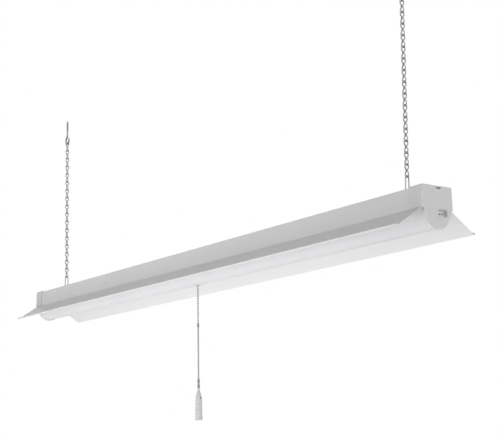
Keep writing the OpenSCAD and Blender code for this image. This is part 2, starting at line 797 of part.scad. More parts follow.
module wire_nuts() {
    color("orange") on_body() for (k = [-1, 0, 1])
        translate([splice_x, k*splice_pitch, splice_z]) rotate([0, -90, 0]) difference() {
            cylinder(h = nut_length, r1 = nut_mouth - 0.8, r2 = 4);
            translate([0, 0, -1]) cylinder(h = nut_length - 3, r = 3.4);
        }
}

// Clips stuck under the channel's roof, each bored for the wires of its side
module wire_clip(x, lanes) {
    ys = [for (lane = lanes) lane[0]];
    zs = [for (lane = lanes) lane[1]];
    side = 2*wire_radius;
    difference() {
        block([x - clip_width/2, min(ys) - side, min(zs) - side],
            [x + clip_width/2, max(ys) + side, -sheet]);
        for (lane = lanes) translate([x - clip_width, lane[0], lane[1]]) rotate([0, 90, 0])
            cylinder(h = 2*clip_width, r = wire_radius + thin);
    }
}

module wire_clips() {
    color("white") on_body() for (x = clip_places) {
        wire_clip(x, [line_lane, feed_lane, load_lane]);
        wire_clip(x, [neutral_lane, ground_lane]);
    }
}

// Wires leave the splice k and climb to their lane, the second of a splice further on
splice_step = 1.7;                           // offset of each of two wires in a splice
function splice_start(k, dy) = [splice_x - 6, k*splice_pitch + dy, splice_z];
function climb(k, dy, lane, delay = 0) = [
    splice_start(k, dy), [splice_x + lead_straight + delay, k*splice_pitch + dy, splice_z],
    [splice_x + lead_straight + delay + lead_ramp, lane[0], lane[1]]];

// They leave the lane beyond the tray's end and turn down to the socket's contact k
function to_socket(k, lane) =
    let(y = socket_offset + k*contact_spacing, drop_x = contact_back - tray_end_gap/2)
    [[drop_x - lead_ramp, lane[0], lane[1]], [drop_x, y, lane[1] - lead_straight],
        [drop_x, y, socket_z], [contact_back, y, socket_z]];

module line_wire() {
    route = concat(climb(-1, -splice_step, line_lane), to_socket(-1, line_lane));
    color("black") on_body() swept(rounded(route, wire_bend), wire_radius);
}

// The second neutral wire runs under the brackets to the driver's board
module neutral_wire() {
    route = concat(climb(1, splice_step, neutral_lane), to_socket(1, neutral_lane));
    joint_x = driver_ends[0] + lead_inset;
    start = splice_start(1, -splice_step);
    color("white") on_body() {
        swept(rounded(route, wire_bend), wire_radius);
        swept(rounded([start, start + [6 + lead_straight, 0, 0],
            [driver_ends[0] - lead_ramp, lead_y, lead_z], [joint_x, lead_y, lead_z],
            [joint_x, lead_y, driver_board_top]], wire_bend), wire_radius);
    }
}

// The second ground wire bonds the housing, at the lug of the ground screw
module ground_wires() {
    route = concat(climb(0, splice_step, ground_lane), to_socket(0, ground_lane));
    start = splice_start(0, -splice_step);
    lug = [ground_place[0] - lug_reach, ground_place[1], -sheet - 0.9];
    color("green") on_body() {
        swept(rounded(route, wire_bend), wire_radius);
        swept(rounded([start, start + [6 + lead_straight, 0, 0], lug - [lead_straight, 0, 0], lug],
            wire_bend), wire_radius/2);
    }
}

// One lead feeds the switch, the other carries the switched line back to the driver
module switch_leads() {
    left = -switch_length/2;
    joint_x = driver_ends[0] + lead_inset;
    turn_x = driver_ends[0] - 2*lead_straight;
    feed = concat(climb(-1, splice_step, feed_lane, 0.7*lead_ramp),
        [[left - lead_ramp - lead_straight, feed_lane[0], feed_lane[1]],
            [left - lead_straight, -lead_y, switch_z], [blade_x, -lead_y, switch_z]]);
    load = [[joint_x, -lead_y, driver_board_top], [joint_x, -lead_y, lead_z],
        [driver_ends[0] - lead_straight, -lead_y, lead_z], [turn_x, load_lane[0], load_lane[1]],
        [driver_ends[0], load_lane[0], load_lane[1]],
        [left - lead_ramp - lead_straight, load_lane[0], load_lane[1]],
        [left - lead_straight, lead_y, switch_z], [blade_x, lead_y, switch_z]];
    color("black") on_body() {
        swept(rounded(feed, wire_bend), wire_radius);
        swept(rounded(load, wire_bend), wire_radius);
    }
}

// Low-voltage pair from the driver, down through the tray's grommet, to a board
module output_wires() {
    joint_x = driver_ends[1] - lead_inset;
    hole = [feed_hole[0], feed_hole[1], tray_top];
    pad = [feed_hole[0], board_width/2 - 1.5, board_face];
    dip = [0, 0, -3];
    color("red") on_body() for (k = [-1, 1])
        swept(rounded([[joint_x, k*lead_y, driver_board_top], [joint_x, k*lead_y, lead_z],
            [driver_ends[1] + lead_straight, k*lead_y, lead_z], hole + [-k, 0, lead_straight],
            [hole[0] - k, hole[1], pad[2]] + dip, pad + [-k, 0, 0] + dip, pad + [-k, 0, 0]], 1.2), 0.6);
}

// ---- Pull switch ---------------------------------------------------------

module pull_switch_body() {
    l = switch_length/2;
    w = switch_width/2;
    color("dimgray") on_body() difference() {
        union() {
            difference() {
                block([-l, -w, tray_top], [l, w, cover_low]);
                block([switch_wall - l, switch_wall - w, floor_top],
                    [l - switch_wall, w - switch_wall, cover_low + 1]);
            }
            translate([0, 0, neck_low]) cylinder(h = neck_length + 0.5, r = neck_radius);
            translate([0, 0, floor_top - 0.2]) cylinder(h = ledge_height + 0.2, r = ledge_outer);
        }
        translate([0, 0, floor_top]) cylinder(h = 10, r = ledge_inner);
        translate([0, 0, neck_low - 1]) cylinder(h = neck_length + 10, r = neck_bore);
        for (y = [-lead_y, lead_y]) translate([-l - 1, y, switch_z])
            rotate([0, 90, 0]) cylinder(h = 4, r = wire_radius + thin);
    }
}

module pull_switch_cover() {
    color("dimgray") on_body() {
        block([-switch_length/2, -switch_width/2, cover_low],
            [switch_length/2, switch_width/2, cover_low + cover_thick]);
        translate([0, 0, cover_low - stop_length]) cylinder(h = stop_length + 0.2, r = 3);
    }
}

module pull_switch_nut() {
    color("silver") on_body() translate([0, 0, tray_face - nut_thick]) difference() {
        cylinder(h = nut_thick, d = nut_flats/cos(30), $fn = 6);
        translate([0, 0, -1]) cylinder(h = nut_thick + 2, r = neck_radius + 0.05);
    }
}

module pull_switch_contacts() {
    top = switch_z + 2;
    color("goldenrod") on_body() for (side = [-1, 1]) {
        block([blade_x, side*lead_y - 1.2, floor_top], [blade_x + 0.6, side*lead_y + 1.2, top]);
        block([blade_x, side*lead_y - 1.2, floor_top],
            [blade_x + 2.4, side*lead_y + 1.2, floor_top + 0.6]);
    }
}

module pull_switch_rotor() {
    low = floor_top + ledge_height + slip;
    color("white") on_body() translate([0, 0, low]) difference() {
        cylinder(h = rotor_thick, r = rotor_outer);
        translate([0, 0, -1]) cylinder(h = rotor_thick + 2, r = ledge_inner);
        for (k = [0 : 3]) rotate([0, 0, 90*k + 45]) translate([rotor_outer, 0, -1])
            cylinder(h = rotor_thick + 2, r = 1.6);
    }
}

module pull_switch_spring() {
    low = floor_top + slip + spring_wire/2;
    high = flange_low - slip - spring_wire/2;
    steps = 12;
    turns = [for (k = [0 : spring_turns*steps])
        [spring_radius*cos(360*k/steps), spring_radius*sin(360*k/steps),
            low + (high - low)*k/(spring_turns*steps)]];
    color("silver") on_body() swept(turns, spring_wire/2, 6);
}

module pull_switch_plunger() {
    color("white") on_body() difference() {
        union() {
            translate([0, 0, flange_low]) cylinder(h = flange_thick, r = flange_radius);
            translate([0, 0, stem_low]) cylinder(h = flange_low - stem_low + 0.2, r = stem_radius);
        }
        translate([0, 0, stem_low - 1]) cylinder(h = 5, r = bead_wire + thin);
    }
}

// ---- Pull chain, cord and knob -------------------------------------------

module beads(low, count) {
    for (k = [0 : count - 1])
        translate([0, 0, low + k*bead_pitch]) sphere(r = bead_radius, $fn = 24);
}

module bead_chain_upper() {
    color("silver") on_body() {
        beads(pivot_z, upper_beads + 1);
        translate([0, 0, pivot_z]) cylinder(h = stem_low + 3 - pivot_z, r = bead_wire, $fn = 24);
    }
}

module swivel_bead() {
    color("silver") on_body() {
        beads(swivel_z, 1);
        translate([0, 0, swivel_z]) cylinder(h = bead_pitch - stub, r = bead_wire, $fn = 24);
    }
}

module bead_chain_lower() {
    color("silver") on_body() {
        beads(bead_low, bead_count);
        translate([0, 0, connector_top]) cylinder(h = swivel_z - stub - connector_top,
            r = bead_wire, $fn = 24);
    }
}

module chain_connector() {
    r = bead_radius + 0.3;
    waist = connector_top - connector_length/2;
    outline = [[0, connector_top], [r - 0.5, connector_top], [r, connector_top - 0.8],
        [r, waist + 0.7], [r - 0.5, waist], [r, waist - 0.7],
        [r, connector_low + 0.6], [r - 0.4, connector_low], [0, connector_low]];
    color("dimgray") on_body() rotate_extrude() polygon(outline);
}

module pull_cord() {
    color("silver") on_body() translate([0, 0, connector_low])
        swept([for (p = cord_points) [p[0], 0, p[1]]], cord_width/2);
}

module cord_coupling() {
    r = cord_width/2 + 0.9;
    mid = coupling_top - coupling_length/2;
    outline = [[0, coupling_top], [r - 0.8, coupling_top], [r, coupling_top - 2.5],
        [r, mid + 2.5], [r - 1, mid], [r, mid - 2.5], [r, knob_top + 2.5],
        [r - 0.4, knob_top], [0, knob_top]];
    color("dimgray") on_body() rotate_extrude() polygon(outline);
}

// The knob's shoulder swells along a half wave, and its skirt flares to the lower end
module pull_knob() {
    neck = 2;
    shoulder = knob_radius - 0.7;
    rise = 19;
    outline = concat(
        [[0, knob_top]],
        [for (k = [0 : 8]) [neck + (shoulder - neck)*(1 - cos(180*k/8))/2, knob_top - rise*k/8]],
        [[knob_radius, knob_top - knob_length + 1], [knob_radius - 0.6, knob_top - knob_length],
            [0, knob_top - knob_length]]);
    color("gainsboro") on_body() difference() {
        rotate_extrude() polygon(outline);
        translate([0, 0, knob_top - 17]) rotate([0, 90, 0]) cylinder(h = 2*knob_radius, r = 1.2);
    }
}

ceiling_hook(-chain_span/2);  // ceiling_hook_left
ceiling_hook(chain_span/2);  // ceiling_hook_right
links(-1, 0, 0);  // top_link_left
links(1, 0, 0);  // top_link_right
links(-1, 1, link_count - 2);  // chain_left
links(1, 1, link_count - 2);  // chain_right
links(-1, link_count - 1, link_count - 1);  // bottom_link_left
links(1, link_count - 1, link_count - 1);  // bottom_link_right
v_hook(-1);  // v_hook_left
v_hook(1);  // v_hook_right
housing();
end_cap_link_end();
end_cap_cord_end();
link_receptacle();
receptacle_contacts();
cord_gland();
lens();
lens_grommet();
gear_tray();
tray_brackets();
tray_screws();
tray_grommet();
led_boards();
led_chips();
board_screws();
board_jumpers();
driver_case();
driver_lid();
driver_board();
driver_screws();
ground_screw();
wire_nuts();
wire_clips();
line_wire();
neutral_wire();
ground_wires();
switch_leads();
output_wires();
pull_switch_body();
pull_switch_cover();
pull_switch_nut();
pull_switch_contacts();
pull_switch_rotor();
pull_switch_spring();
pull_switch_plunger();
bead_chain_upper();
swivel_bead();
bead_chain_lower();
chain_connector();
pull_cord();
cord_coupling();
pull_knob();
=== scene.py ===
import json
import math

import bmesh
import bpy
from mathutils import Matrix, Vector


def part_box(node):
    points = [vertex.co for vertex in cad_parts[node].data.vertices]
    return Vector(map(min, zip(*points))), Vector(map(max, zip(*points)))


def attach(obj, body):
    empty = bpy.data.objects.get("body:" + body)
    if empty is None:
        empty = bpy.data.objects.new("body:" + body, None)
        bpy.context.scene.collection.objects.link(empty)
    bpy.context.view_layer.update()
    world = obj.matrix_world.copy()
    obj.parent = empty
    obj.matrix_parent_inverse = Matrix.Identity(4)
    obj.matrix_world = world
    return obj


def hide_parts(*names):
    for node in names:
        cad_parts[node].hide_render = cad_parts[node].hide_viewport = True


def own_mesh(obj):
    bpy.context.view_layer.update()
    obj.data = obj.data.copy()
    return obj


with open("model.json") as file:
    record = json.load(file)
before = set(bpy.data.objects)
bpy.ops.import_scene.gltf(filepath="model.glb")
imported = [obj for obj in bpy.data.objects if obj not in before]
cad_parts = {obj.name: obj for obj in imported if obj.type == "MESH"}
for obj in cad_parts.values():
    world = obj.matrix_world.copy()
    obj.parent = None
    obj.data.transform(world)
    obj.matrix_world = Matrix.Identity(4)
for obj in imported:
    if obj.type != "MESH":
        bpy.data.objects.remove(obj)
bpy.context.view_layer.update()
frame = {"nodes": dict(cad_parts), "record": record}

scene = bpy.context.scene
nodes = frame["nodes"]
milli = 0.001
fineWeld, weld = 1e-4, 1e-3      # points nearer than this, in millimetres, become one
up = Vector((0, 0, 1))

# ---- Camera: the photograph's place, in metres and degrees
cameraSetup = {
    "place": (1.7623, -1.1224, -0.7006),
    "yaw": 55.251,
    "pitch": 7.075,
    "roll": -0.759,
    "focal": 1211.3,        # in pixels of the photograph
    "lift": 91.2,           # how far the lens is shifted up, in the same pixels
    "imageWidth": 500,
    "sensor": 36,
    "clip": (0.05, 60),
}


def makeCamera():
    yaw, pitch, roll = (math.radians(cameraSetup[k]) for k in ("yaw", "pitch", "roll"))
    ahead = Vector((-math.sin(yaw) * math.cos(pitch), math.cos(yaw) * math.cos(pitch), math.sin(pitch)))
    right = ahead.cross(up).normalized()
    right = math.cos(roll) * right + math.sin(roll) * right.cross(ahead)
    camera = bpy.data.objects.new("camera", bpy.data.cameras.new("camera"))
    scene.collection.objects.link(camera)
    camera.data.sensor_width = cameraSetup["sensor"]
    camera.data.lens = cameraSetup["focal"] / cameraSetup["imageWidth"] * cameraSetup["sensor"]
    camera.data.shift_y = cameraSetup["lift"] / cameraSetup["imageWidth"]
    camera.data.clip_start, camera.data.clip_end = cameraSetup["clip"]
    camera.rotation_mode = "QUATERNION"
    turn = Matrix((right, right.cross(ahead), -ahead)).transposed()
    camera.rotation_quaternion = turn.to_quaternion()
    camera.location = cameraSetup["place"]
    scene.camera = camera


makeCamera()
print("camera placed")

# ---- Helpers for shapes, in millimetres until a piece is finished
lightPlace = Vector((-15, 0, -336.8))     # middle of the channel's top, in the row frame


def unlink(thing):
    bpy.data.objects.remove(thing)


def finished(work, name, body, replaced, slot, materials=None, place=(0, 0, 0), smooth=38, weighted=False):
    # Turns a bmesh in millimetres into a piece at the origin that rides on its body
    bmesh.ops.translate(work, verts=work.verts, vec=Vector(place))
    bmesh.ops.scale(work, verts=work.verts, vec=(milli, milli, milli))
    mesh = bpy.data.meshes.new(name)
    work.to_mesh(mesh)
    work.free()
    piece = bpy.data.objects.new(name, mesh)
    scene.collection.objects.link(piece)
    for material in materials or [finishes[slot]]:
        mesh.materials.append(material)
    mesh.shade_smooth()
    mesh.set_sharp_from_angle(angle=math.radians(smooth))
    if weighted:
        piece.modifiers.new("shading", "WEIGHTED_NORMAL").keep_sharp = True
    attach(piece, body)
    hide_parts(*replaced)
    return piece


def tidied(work):
    bmesh.ops.remove_doubles(work, verts=work.verts, dist=fineWeld)
    bmesh.ops.recalc_face_normals(work, faces=work.faces)
    return work


def joined(work, other, matrix):
    # Adds another bmesh's shape at a place
    mesh = bpy.data.meshes.new("part")
    other.to_mesh(mesh)
    mesh.transform(matrix)
    work.from_mesh(mesh)
    bpy.data.meshes.remove(mesh)


def sweep(work, points, radius, sides, closed=False):
    # A round bar: a circle extruded from point to point
    points = [Vector(p) for p in points]
    count = len(points)
    tangents = []
    for k in range(count):
        before = points[(k - 1) % count] if closed or k else points[0]
        after = points[(k + 1) % count] if closed or k < count - 1 else points[-1]
        tangents.append((after - before).normalized())
    turn = up.rotation_difference(tangents[0]).to_matrix().to_4x4()
    first = bmesh.ops.create_circle(
        work, segments=sides, radius=radius, cap_ends=False,
        matrix=Matrix.Translation(points[0]) @ turn)["verts"]
    start = list({edge for vert in first for edge in vert.link_edges})
    edges = start
    for k in range(1, count):
        made = bmesh.ops.extrude_edge_only(work, edges=edges)["geom"]
        verts = [g for g in made if isinstance(g, bmesh.types.BMVert)]
        edges = [g for g in made if isinstance(g, bmesh.types.BMEdge)]
        bmesh.ops.translate(work, verts=verts, vec=points[k] - points[k - 1])
        bmesh.ops.rotate(
            work, verts=verts, cent=points[k],
            matrix=tangents[k - 1].rotation_difference(tangents[k]).to_matrix())
    if closed:
        bmesh.ops.bridge_loops(work, edges=start + edges)
    else:
        for rim in (start, edges):
            bmesh.ops.contextual_create(work, geom=rim)


def lathe(work, profile, segments, place=(0, 0, 0)):
    # A profile of radius and height, spun round the z axis
    verts = [work.verts.new((r, 0, z)) for r, z in profile]
    edges = [work.edges.new(pair) for pair in zip(verts, verts[1:])]
    made = bmesh.ops.spin(
        work, geom=verts + edges, cent=(0, 0, 0), axis=(0, 0, 1), dvec=(0, 0, 0),
        angle=2 * math.pi, steps=segments, use_merge=True, use_normal_flip=False, use_duplicate=False)
    found = set(verts)
    todo = list(verts)
    while todo:
        for edge in todo.pop().link_edges:
            for vert in edge.verts:
                if vert not in found:
                    found.add(vert)
                    todo.append(vert)
    found = list(found)
    bmesh.ops.translate(work, verts=found, vec=Vector(place))
    bmesh.ops.remove_doubles(work, verts=found, dist=fineWeld)


def rounded(points, bend, steps):
    # A route with each corner replaced by a curve that starts a distance before it
    points = [Vector(p) for p in points]
    route = [points[0]]
    for a, corner, b in zip(points, points[1:], points[2:]):
        start = corner + (a - corner).normalized() * bend
        end = corner + (b - corner).normalized() * bend
        for k in range(steps + 1):
            t = k / steps
            route.append((1 - t) ** 2 * start + 2 * t * (1 - t) * corner + t * t * end)
    route.append(points[-1])
    return route


def copied(name):
    # A CAD node's shape as a merged bmesh, in millimetres
    work = bmesh.new()
    work.from_mesh(nodes[name].data)
    bmesh.ops.scale(work, verts=work.verts, vec=(1 / milli, 1 / milli, 1 / milli))
    bmesh.ops.remove_doubles(work, verts=work.verts, dist=weld)
    return work


def arcProfile(centre, radius, start, end, steps):
    # Points of radius and height on an arc, angles in degrees
    return [
        (centre[0] + radius * math.cos(math.radians(start + (end - start) * k / steps)),
         centre[1] + radius * math.sin(math.radians(start + (end - start) * k / steps)))
        for k in range(steps + 1)]


def cut(work, tool):
    # The first shape less the second, both freed
    things = []
    for source in (work, tool):
        mesh = bpy.data.meshes.new("cutting")
        source.to_mesh(mesh)
        source.free()
        thing = bpy.data.objects.new("cutting", mesh)
        scene.collection.objects.link(thing)
        things.append(thing)
    boolean = things[0].modifiers.new("cut", "BOOLEAN")
    boolean.operation, boolean.solver, boolean.object = "DIFFERENCE", "EXACT", things[1]
    bpy.context.view_layer.update()
    solid = things[0].evaluated_get(bpy.context.evaluated_depsgraph_get())
    result = bmesh.new()
    result.from_mesh(solid.to_mesh())
    solid.to_mesh_clear()
    for thing in things:
        unlink(thing)
    return result


softening = {"flat": 0.5, "sharp": 32, "segments": 2}     # angles in degrees


def softened(node, name, width, body="light"):
    # The CAD shape with its sharp edges rounded off
    work = copied(node)
    bmesh.ops.dissolve_limit(
        work, angle_limit=math.radians(softening["flat"]), use_dissolve_boundaries=False,
        verts=work.verts, edges=work.edges)
    sharp = [
        e for e in work.edges
        if len(e.link_faces) == 2 and e.calc_face_angle(0) > math.radians(softening["sharp"])]
    bmesh.ops.bevel(
        work, geom=sharp, offset=width, offset_type="OFFSET", segments=softening["segments"], profile=0.5,
        affect="EDGES", clamp_overlap=True, material=-1, loop_slide=True)
    finished(work, name, body, (node,), slotOf[node], weighted=True)


# ---- Shader maths
noiseReach = (0.3, 0.7)     # the part of its range that a noise mostly fills


class Value:
    def __init__(self, finish, socket):
        self.finish = finish
        self.socket = socket

    def maths(self, operation, *others):
        return self.finish.node("ShaderNodeMath", {"operation": operation}, [self, *others])

    def __add__(self, other):
        return self.maths("ADD", other)

    def __sub__(self, other):
        return self.maths("SUBTRACT", other)

    def __mul__(self, other):
        return self.maths("MULTIPLY", other)

    __rmul__ = __mul__


class Finish:
    def __init__(self, name, **constants):
        self.material = bpy.data.materials.new(name)
        self.material.use_nodes = True
        self.tree = self.material.node_tree
        self.shader = self.tree.nodes["Principled BSDF"]
        for key, value in constants.items():
            self.shader.inputs[socketNames[key]].default_value = value
        self.where = self.node("ShaderNodeTexCoord", out="Object")

    def join(self, value, socket):
        if isinstance(value, Value):
            self.tree.links.new(value.socket, socket)
        else:
            socket.default_value = value

    def node(self, kind, settings=None, values=(), named=None, out=0):
        made = self.tree.nodes.new(kind)
        for key, value in (settings or {}).items():
            setattr(made, key, value)
        for k, value in enumerate(values):
            self.join(value, made.inputs[k])
        for key, value in (named or {}).items():
            self.join(value, made.inputs[key])
        return Value(self, made.outputs[out])

    def mapped(self, scale=(1, 1, 1), place=(0, 0, 0)):
        return self.node("ShaderNodeMapping", named={"Vector": self.where, "Location": place, "Scale": scale})

    def noise(self, scale, detail, where=None):
        return self.node(
            "ShaderNodeTexNoise", named={"Vector": where or self.where, "Scale": scale, "Detail": detail})

    def between(self, mask, low, high):
        # Numbers that go from low to high with the mask
        return self.node("ShaderNodeMapRange", {"clamp": True}, [mask, *noiseReach, low, high])

    def colours(self, mask, low, high):
        # A mix by the mask, on the sockets of the mix node that carry colours
        made = self.tree.nodes.new("ShaderNodeMix")
        made.data_type = "RGBA"
        self.join(mask, made.inputs[0])
        self.join(low, made.inputs[6])
        self.join(high, made.inputs[7])
        return Value(self, made.outputs[2])

    def base(self, colour):
        self.join(colour, self.shader.inputs["Base Color"])

    def rough(self, value):
        self.join(value, self.shader.inputs["Roughness"])

    def bump(self, height, distance, strength=1.0):
        normal = self.node("ShaderNodeBump", named={
            "Strength": strength, "Distance": distance, "Height": height})
        self.join(normal, self.shader.inputs["Normal"])


socketNames = {
    "metallic": "Metallic", "coat": "Coat Weight", "coatRoughness": "Coat Roughness", "sheen": "Sheen Weight",
    "glass": "Transmission Weight", "index": "IOR", "under": "Subsurface Weight",
    "underScale": "Subsurface Scale", "underReach": "Subsurface Radius"}
# What all plastics or all metals share: scales of noises, and how much finer a metal's drawing marks are
# than its cloudy plating
plasticSetup = {"flow": 14, "cloud": 60}
metalSetup = {"marks": 2.3, "grain": 900, "depth": 0.00002}


def grey(value, warm=0.0):
    # A grey written as its sRGB level from 0 to 255, in linear light
    level = value / 255
    linear = level / 12.92 if level <= 0.04045 else ((level + 0.055) / 1.055) ** 2.4
    return (linear * (1 + warm), linear, linear * (1 - warm), 1)


def tint(red, green, blue):
    return (grey(red)[0], grey(green)[0], grey(blue)[0], 1)


def plastic(name, colour, grain, depth, roughness, spread=0.05, **constants):
    # Moulded plastic: faint flow marks and a fine spark-eroded grain
    finish = Finish(name, **constants)
    flow = finish.noise(plasticSetup["flow"], 3)
    dark = tuple(c * (1 - spread) for c in colour[:3]) + (1,)
    finish.base(finish.colours(flow, dark, colour))
    finish.rough(finish.between(finish.noise(plasticSetup["cloud"], 2), *roughness))
    finish.bump(finish.noise(grain, 2), depth)
    return finish.material


def metal(name, colour, roughness, spread, scale):
    # Plated or drawn metal: cloudy plating and fine drawing marks
    finish = Finish(name, metallic=1.0)
    cloud = finish.noise(scale, 4)
    dark = tuple(c * (1 - spread) for c in colour[:3]) + (1,)
    finish.base(finish.colours(cloud, dark, colour))
    finish.rough(finish.between(finish.noise(scale * metalSetup["marks"], 3), *roughness))
    finish.bump(finish.noise(metalSetup["grain"], 3), metalSetup["depth"])
    return finish.material


# ---- Finishes
def enamelFinish():
    finish = Finish("bakedEnamel", coat=0.15, coatRoughness=0.2)
    cloud = finish.noise(5, 3)
    finish.base(finish.colours(cloud, grey(226), grey(232)))
    finish.rough(finish.between(finish.noise(35, 3), 0.34, 0.44))
    finish.bump(finish.noise(650, 2), 0.00003, 0.6)    # the orange peel of sprayed paint
    return finish.material


def lensFinish():
    finish = Finish(
        "frostedLens", glass=0.12, index=1.49, under=0.15, underScale=0.004, underReach=(1, 1, 1))
    lines = finish.noise(1, 3, finish.mapped((1.5, 700, 700)))      # extrusion lines
    finish.base(finish.colours(finish.noise(9, 2), tint(233, 232, 235), tint(240, 239, 241)))
    finish.rough(finish.between(lines, 0.42, 0.56))
    finish.bump(lines + 0.4 * finish.noise(3000, 2), 0.00002)
    return finish.material


def sheetFinish():
    # Galvanised sheet: crystals of zinc that differ in shade
    finish = Finish("galvanisedSheet", metallic=1.0)
    crystals = finish.node(
        "ShaderNodeTexVoronoi", {"feature": "F1"}, named={"Vector": finish.where, "Scale": 140}, out="Color")
    shade = finish.node("ShaderNodeRGBToBW", None, [crystals])
    finish.base(finish.colours(shade, grey(176), grey(206)))
    finish.rough(finish.between(shade, 0.32, 0.48))
    finish.bump(finish.noise(500, 3), 0.00002)
    return finish.material


def cordFinish():
    # A braid: strands that cross in both directions round the cord, with painted shade darkening the grooves
    # between strands
    setup = {"middle": (-0.015, 0, 0), "strands": 8, "rise": 5200}
    finish = Finish("braidedCord", sheen=0.3)
    back = tuple(-c for c in setup["middle"])
    x, y, z = (
        finish.node("ShaderNodeSeparateXYZ", None, [finish.mapped(place=back)], out=k) for k in range(3))
    angle = y.maths("ARCTAN2", x) * setup["strands"]
    climb = z * setup["rise"]
    weave = (angle + climb).maths("SINE") * (angle - climb).maths("SINE")
    mask = weave * 0.5 + 0.5
    # painted shade: the colour goes darker where the weave's height is low, in the grooves between strands
    finish.base(finish.colours(mask, grey(158), grey(190)))
    finish.rough(finish.between(mask, 0.7, 0.85))
    finish.bump(mask, 0.0001)
    return finish.material


def boardFinish():
    # White solder mask over copper fields
    finish = Finish("boardWhite", coat=0.1)
    fields = finish.node(
        "ShaderNodeTexBrick", {"offset": 0.5}, named={
            "Vector": finish.where, "Color1": (1, 1, 1, 1), "Color2": (0.85, 0.85, 0.85, 1),
            "Mortar": (0, 0, 0, 1), "Scale": 45, "Mortar Size": 0.018})
    shade = finish.node("ShaderNodeRGBToBW", None, [fields])
    finish.base(finish.colours(shade, grey(226, 0.01), grey(240, 0.01)))
    finish.rough(finish.between(finish.noise(80, 2), 0.35, 0.5))
    finish.bump(shade, 0.00003)
    return finish.material


def phosphorFinish():
    finish = Finish("phosphorGel", coat=0.6, coatRoughness=0.1)
    finish.base(finish.colours(finish.noise(1800, 2), tint(232, 190, 62), tint(240, 214, 110)))
    finish.rough(finish.between(finish.noise(900, 2), 0.3, 0.45))
    finish.bump(finish.noise(2500, 2), 0.00002)
    return finish.material


finishes = {
    "enamel": enamelFinish(),
    "white_plastic": plastic("capPlastic", grey(226), 2200, 0.00003, (0.42, 0.55)),
    "diffuser": lensFinish(),
    "zinc_wire": metal("zincWire", grey(194), (0.42, 0.56), 0.14, 300),
    "zinc_plate": sheetFinish(),
    "nickel_chain": metal("nickelBeads", grey(196, 0.01), (0.26, 0.38), 0.14, 500),
    "spring_steel": metal("springSteel", grey(170), (0.25, 0.35), 0.15, 400),
    "dark_metal": metal("darkSteel", grey(184, 0.02), (0.45, 0.6), 0.16, 300),
    "pull_cord": cordFinish(),
    "knob_plastic": plastic("knobPlastic", grey(205), 1500, 0.000008, (0.36, 0.48), 0.03),
    "black_plastic": plastic("blackNylon", grey(44), 2200, 0.00003, (0.45, 0.6), 0.3),
    "brass": metal("stampedBrass", tint(196, 160, 84), (0.25, 0.38), 0.2, 200),
    "board_white": boardFinish(),
    "led_phosphor": phosphorFinish(),
    "board_green": plastic("greenMask", tint(30, 92, 52), 900, 0.00003, (0.3, 0.45), 0.3, coat=0.3),
    "black_wire": plastic("blackWire", grey(34), 1800, 0.00002, (0.35, 0.5), 0.3),
    "white_wire": plastic("whiteWire", grey(228, 0.01), 1800, 0.00002, (0.35, 0.5)),
    "green_wire": plastic("greenWire", tint(30, 122, 58), 1800, 0.00002, (0.35, 0.5), 0.15),
    "red_wire": plastic("redWire", tint(166, 42, 36), 1800, 0.00002, (0.35, 0.5), 0.15),
    "green_screw": metal("greenScrew", tint(44, 128, 70), (0.35, 0.5), 0.25, 400),
    "orange_nut": plastic("orangeNut", tint(216, 120, 44), 1500, 0.00003, (0.4, 0.55), 0.12),
}
slotOf = {row["node"]: row["material_slot"] for row in frame["record"]["subparts"]}
for name, node in nodes.items():
    node.data.materials.clear()
    node.data.materials.append(finishes[slotOf[name]])
print("finishes made")

# ---- Pull cord: it leaves the connector's lower end and ends in the coupling
cordSetup = {
    "exit": (-15, 0, -468.15),
    "drops": [4.5 * k for k in range(20)] + [89.8],     # distances below the exit
    "width": 2.8,
}


def makePull():
    cordPath = [Vector(cordSetup["exit"]) - Vector((0, 0, drop)) for drop in cordSetup["drops"]]
    work = bmesh.new()
    sweep(work, cordPath, cordSetup["width"] / 2, 16)
    cord = finished(tidied(work), "pull_cord_braid", "pull", ("pull_cord",), "pull_cord")
    coupling = crimped("coupling_crimped", "cord_coupling", couplingSetup)
    makeKnob()


couplingSetup = {
    "radius": 2.3, "top": -221.15, "length": 17, "ends": 1.5, "waist": 1.25, "steps": 26, "power": 0.55}
connectorSetup = {
    "radius": 1.9, "top": -125.85, "length": 5.5, "ends": 1.45, "waist": 1.4, "steps": 24, "power": 0.45}


def crimped(name, node, s):
    # A crimped tube with two swollen ends and a waist
    profile = [(0, s["top"])]
    for k in range(s["steps"] + 1):
        t = k / s["steps"]
        swell = abs(math.sin(2 * math.pi * t)) ** s["power"]
        end = s["ends"] if k in (0, s["steps"]) else s["waist"]
        profile.append((end + (s["radius"] - end) * swell, s["top"] - s["length"] * t))
    profile.append((0, s["top"] - s["length"]))
    work = bmesh.new()
    lathe(work, profile, 28)
    return finished(tidied(work), name, "pull", (node,), "dark_metal", place=lightPlace, smooth=60)


knobSetup = {
    "top": -238.15, "length": 55.5, "neck": 2, "neckBevel": 0.4, "shoulder": 5.7, "rise": 19, "steps": 18,
    "foot": 6.4, "skirtEnd": 1.2, "footRound": 1, "rim": 2, "hollowRim": 2.6, "hollow": 1.4,
    "holeDrop": 17, "holeRadius": 1.2,
}


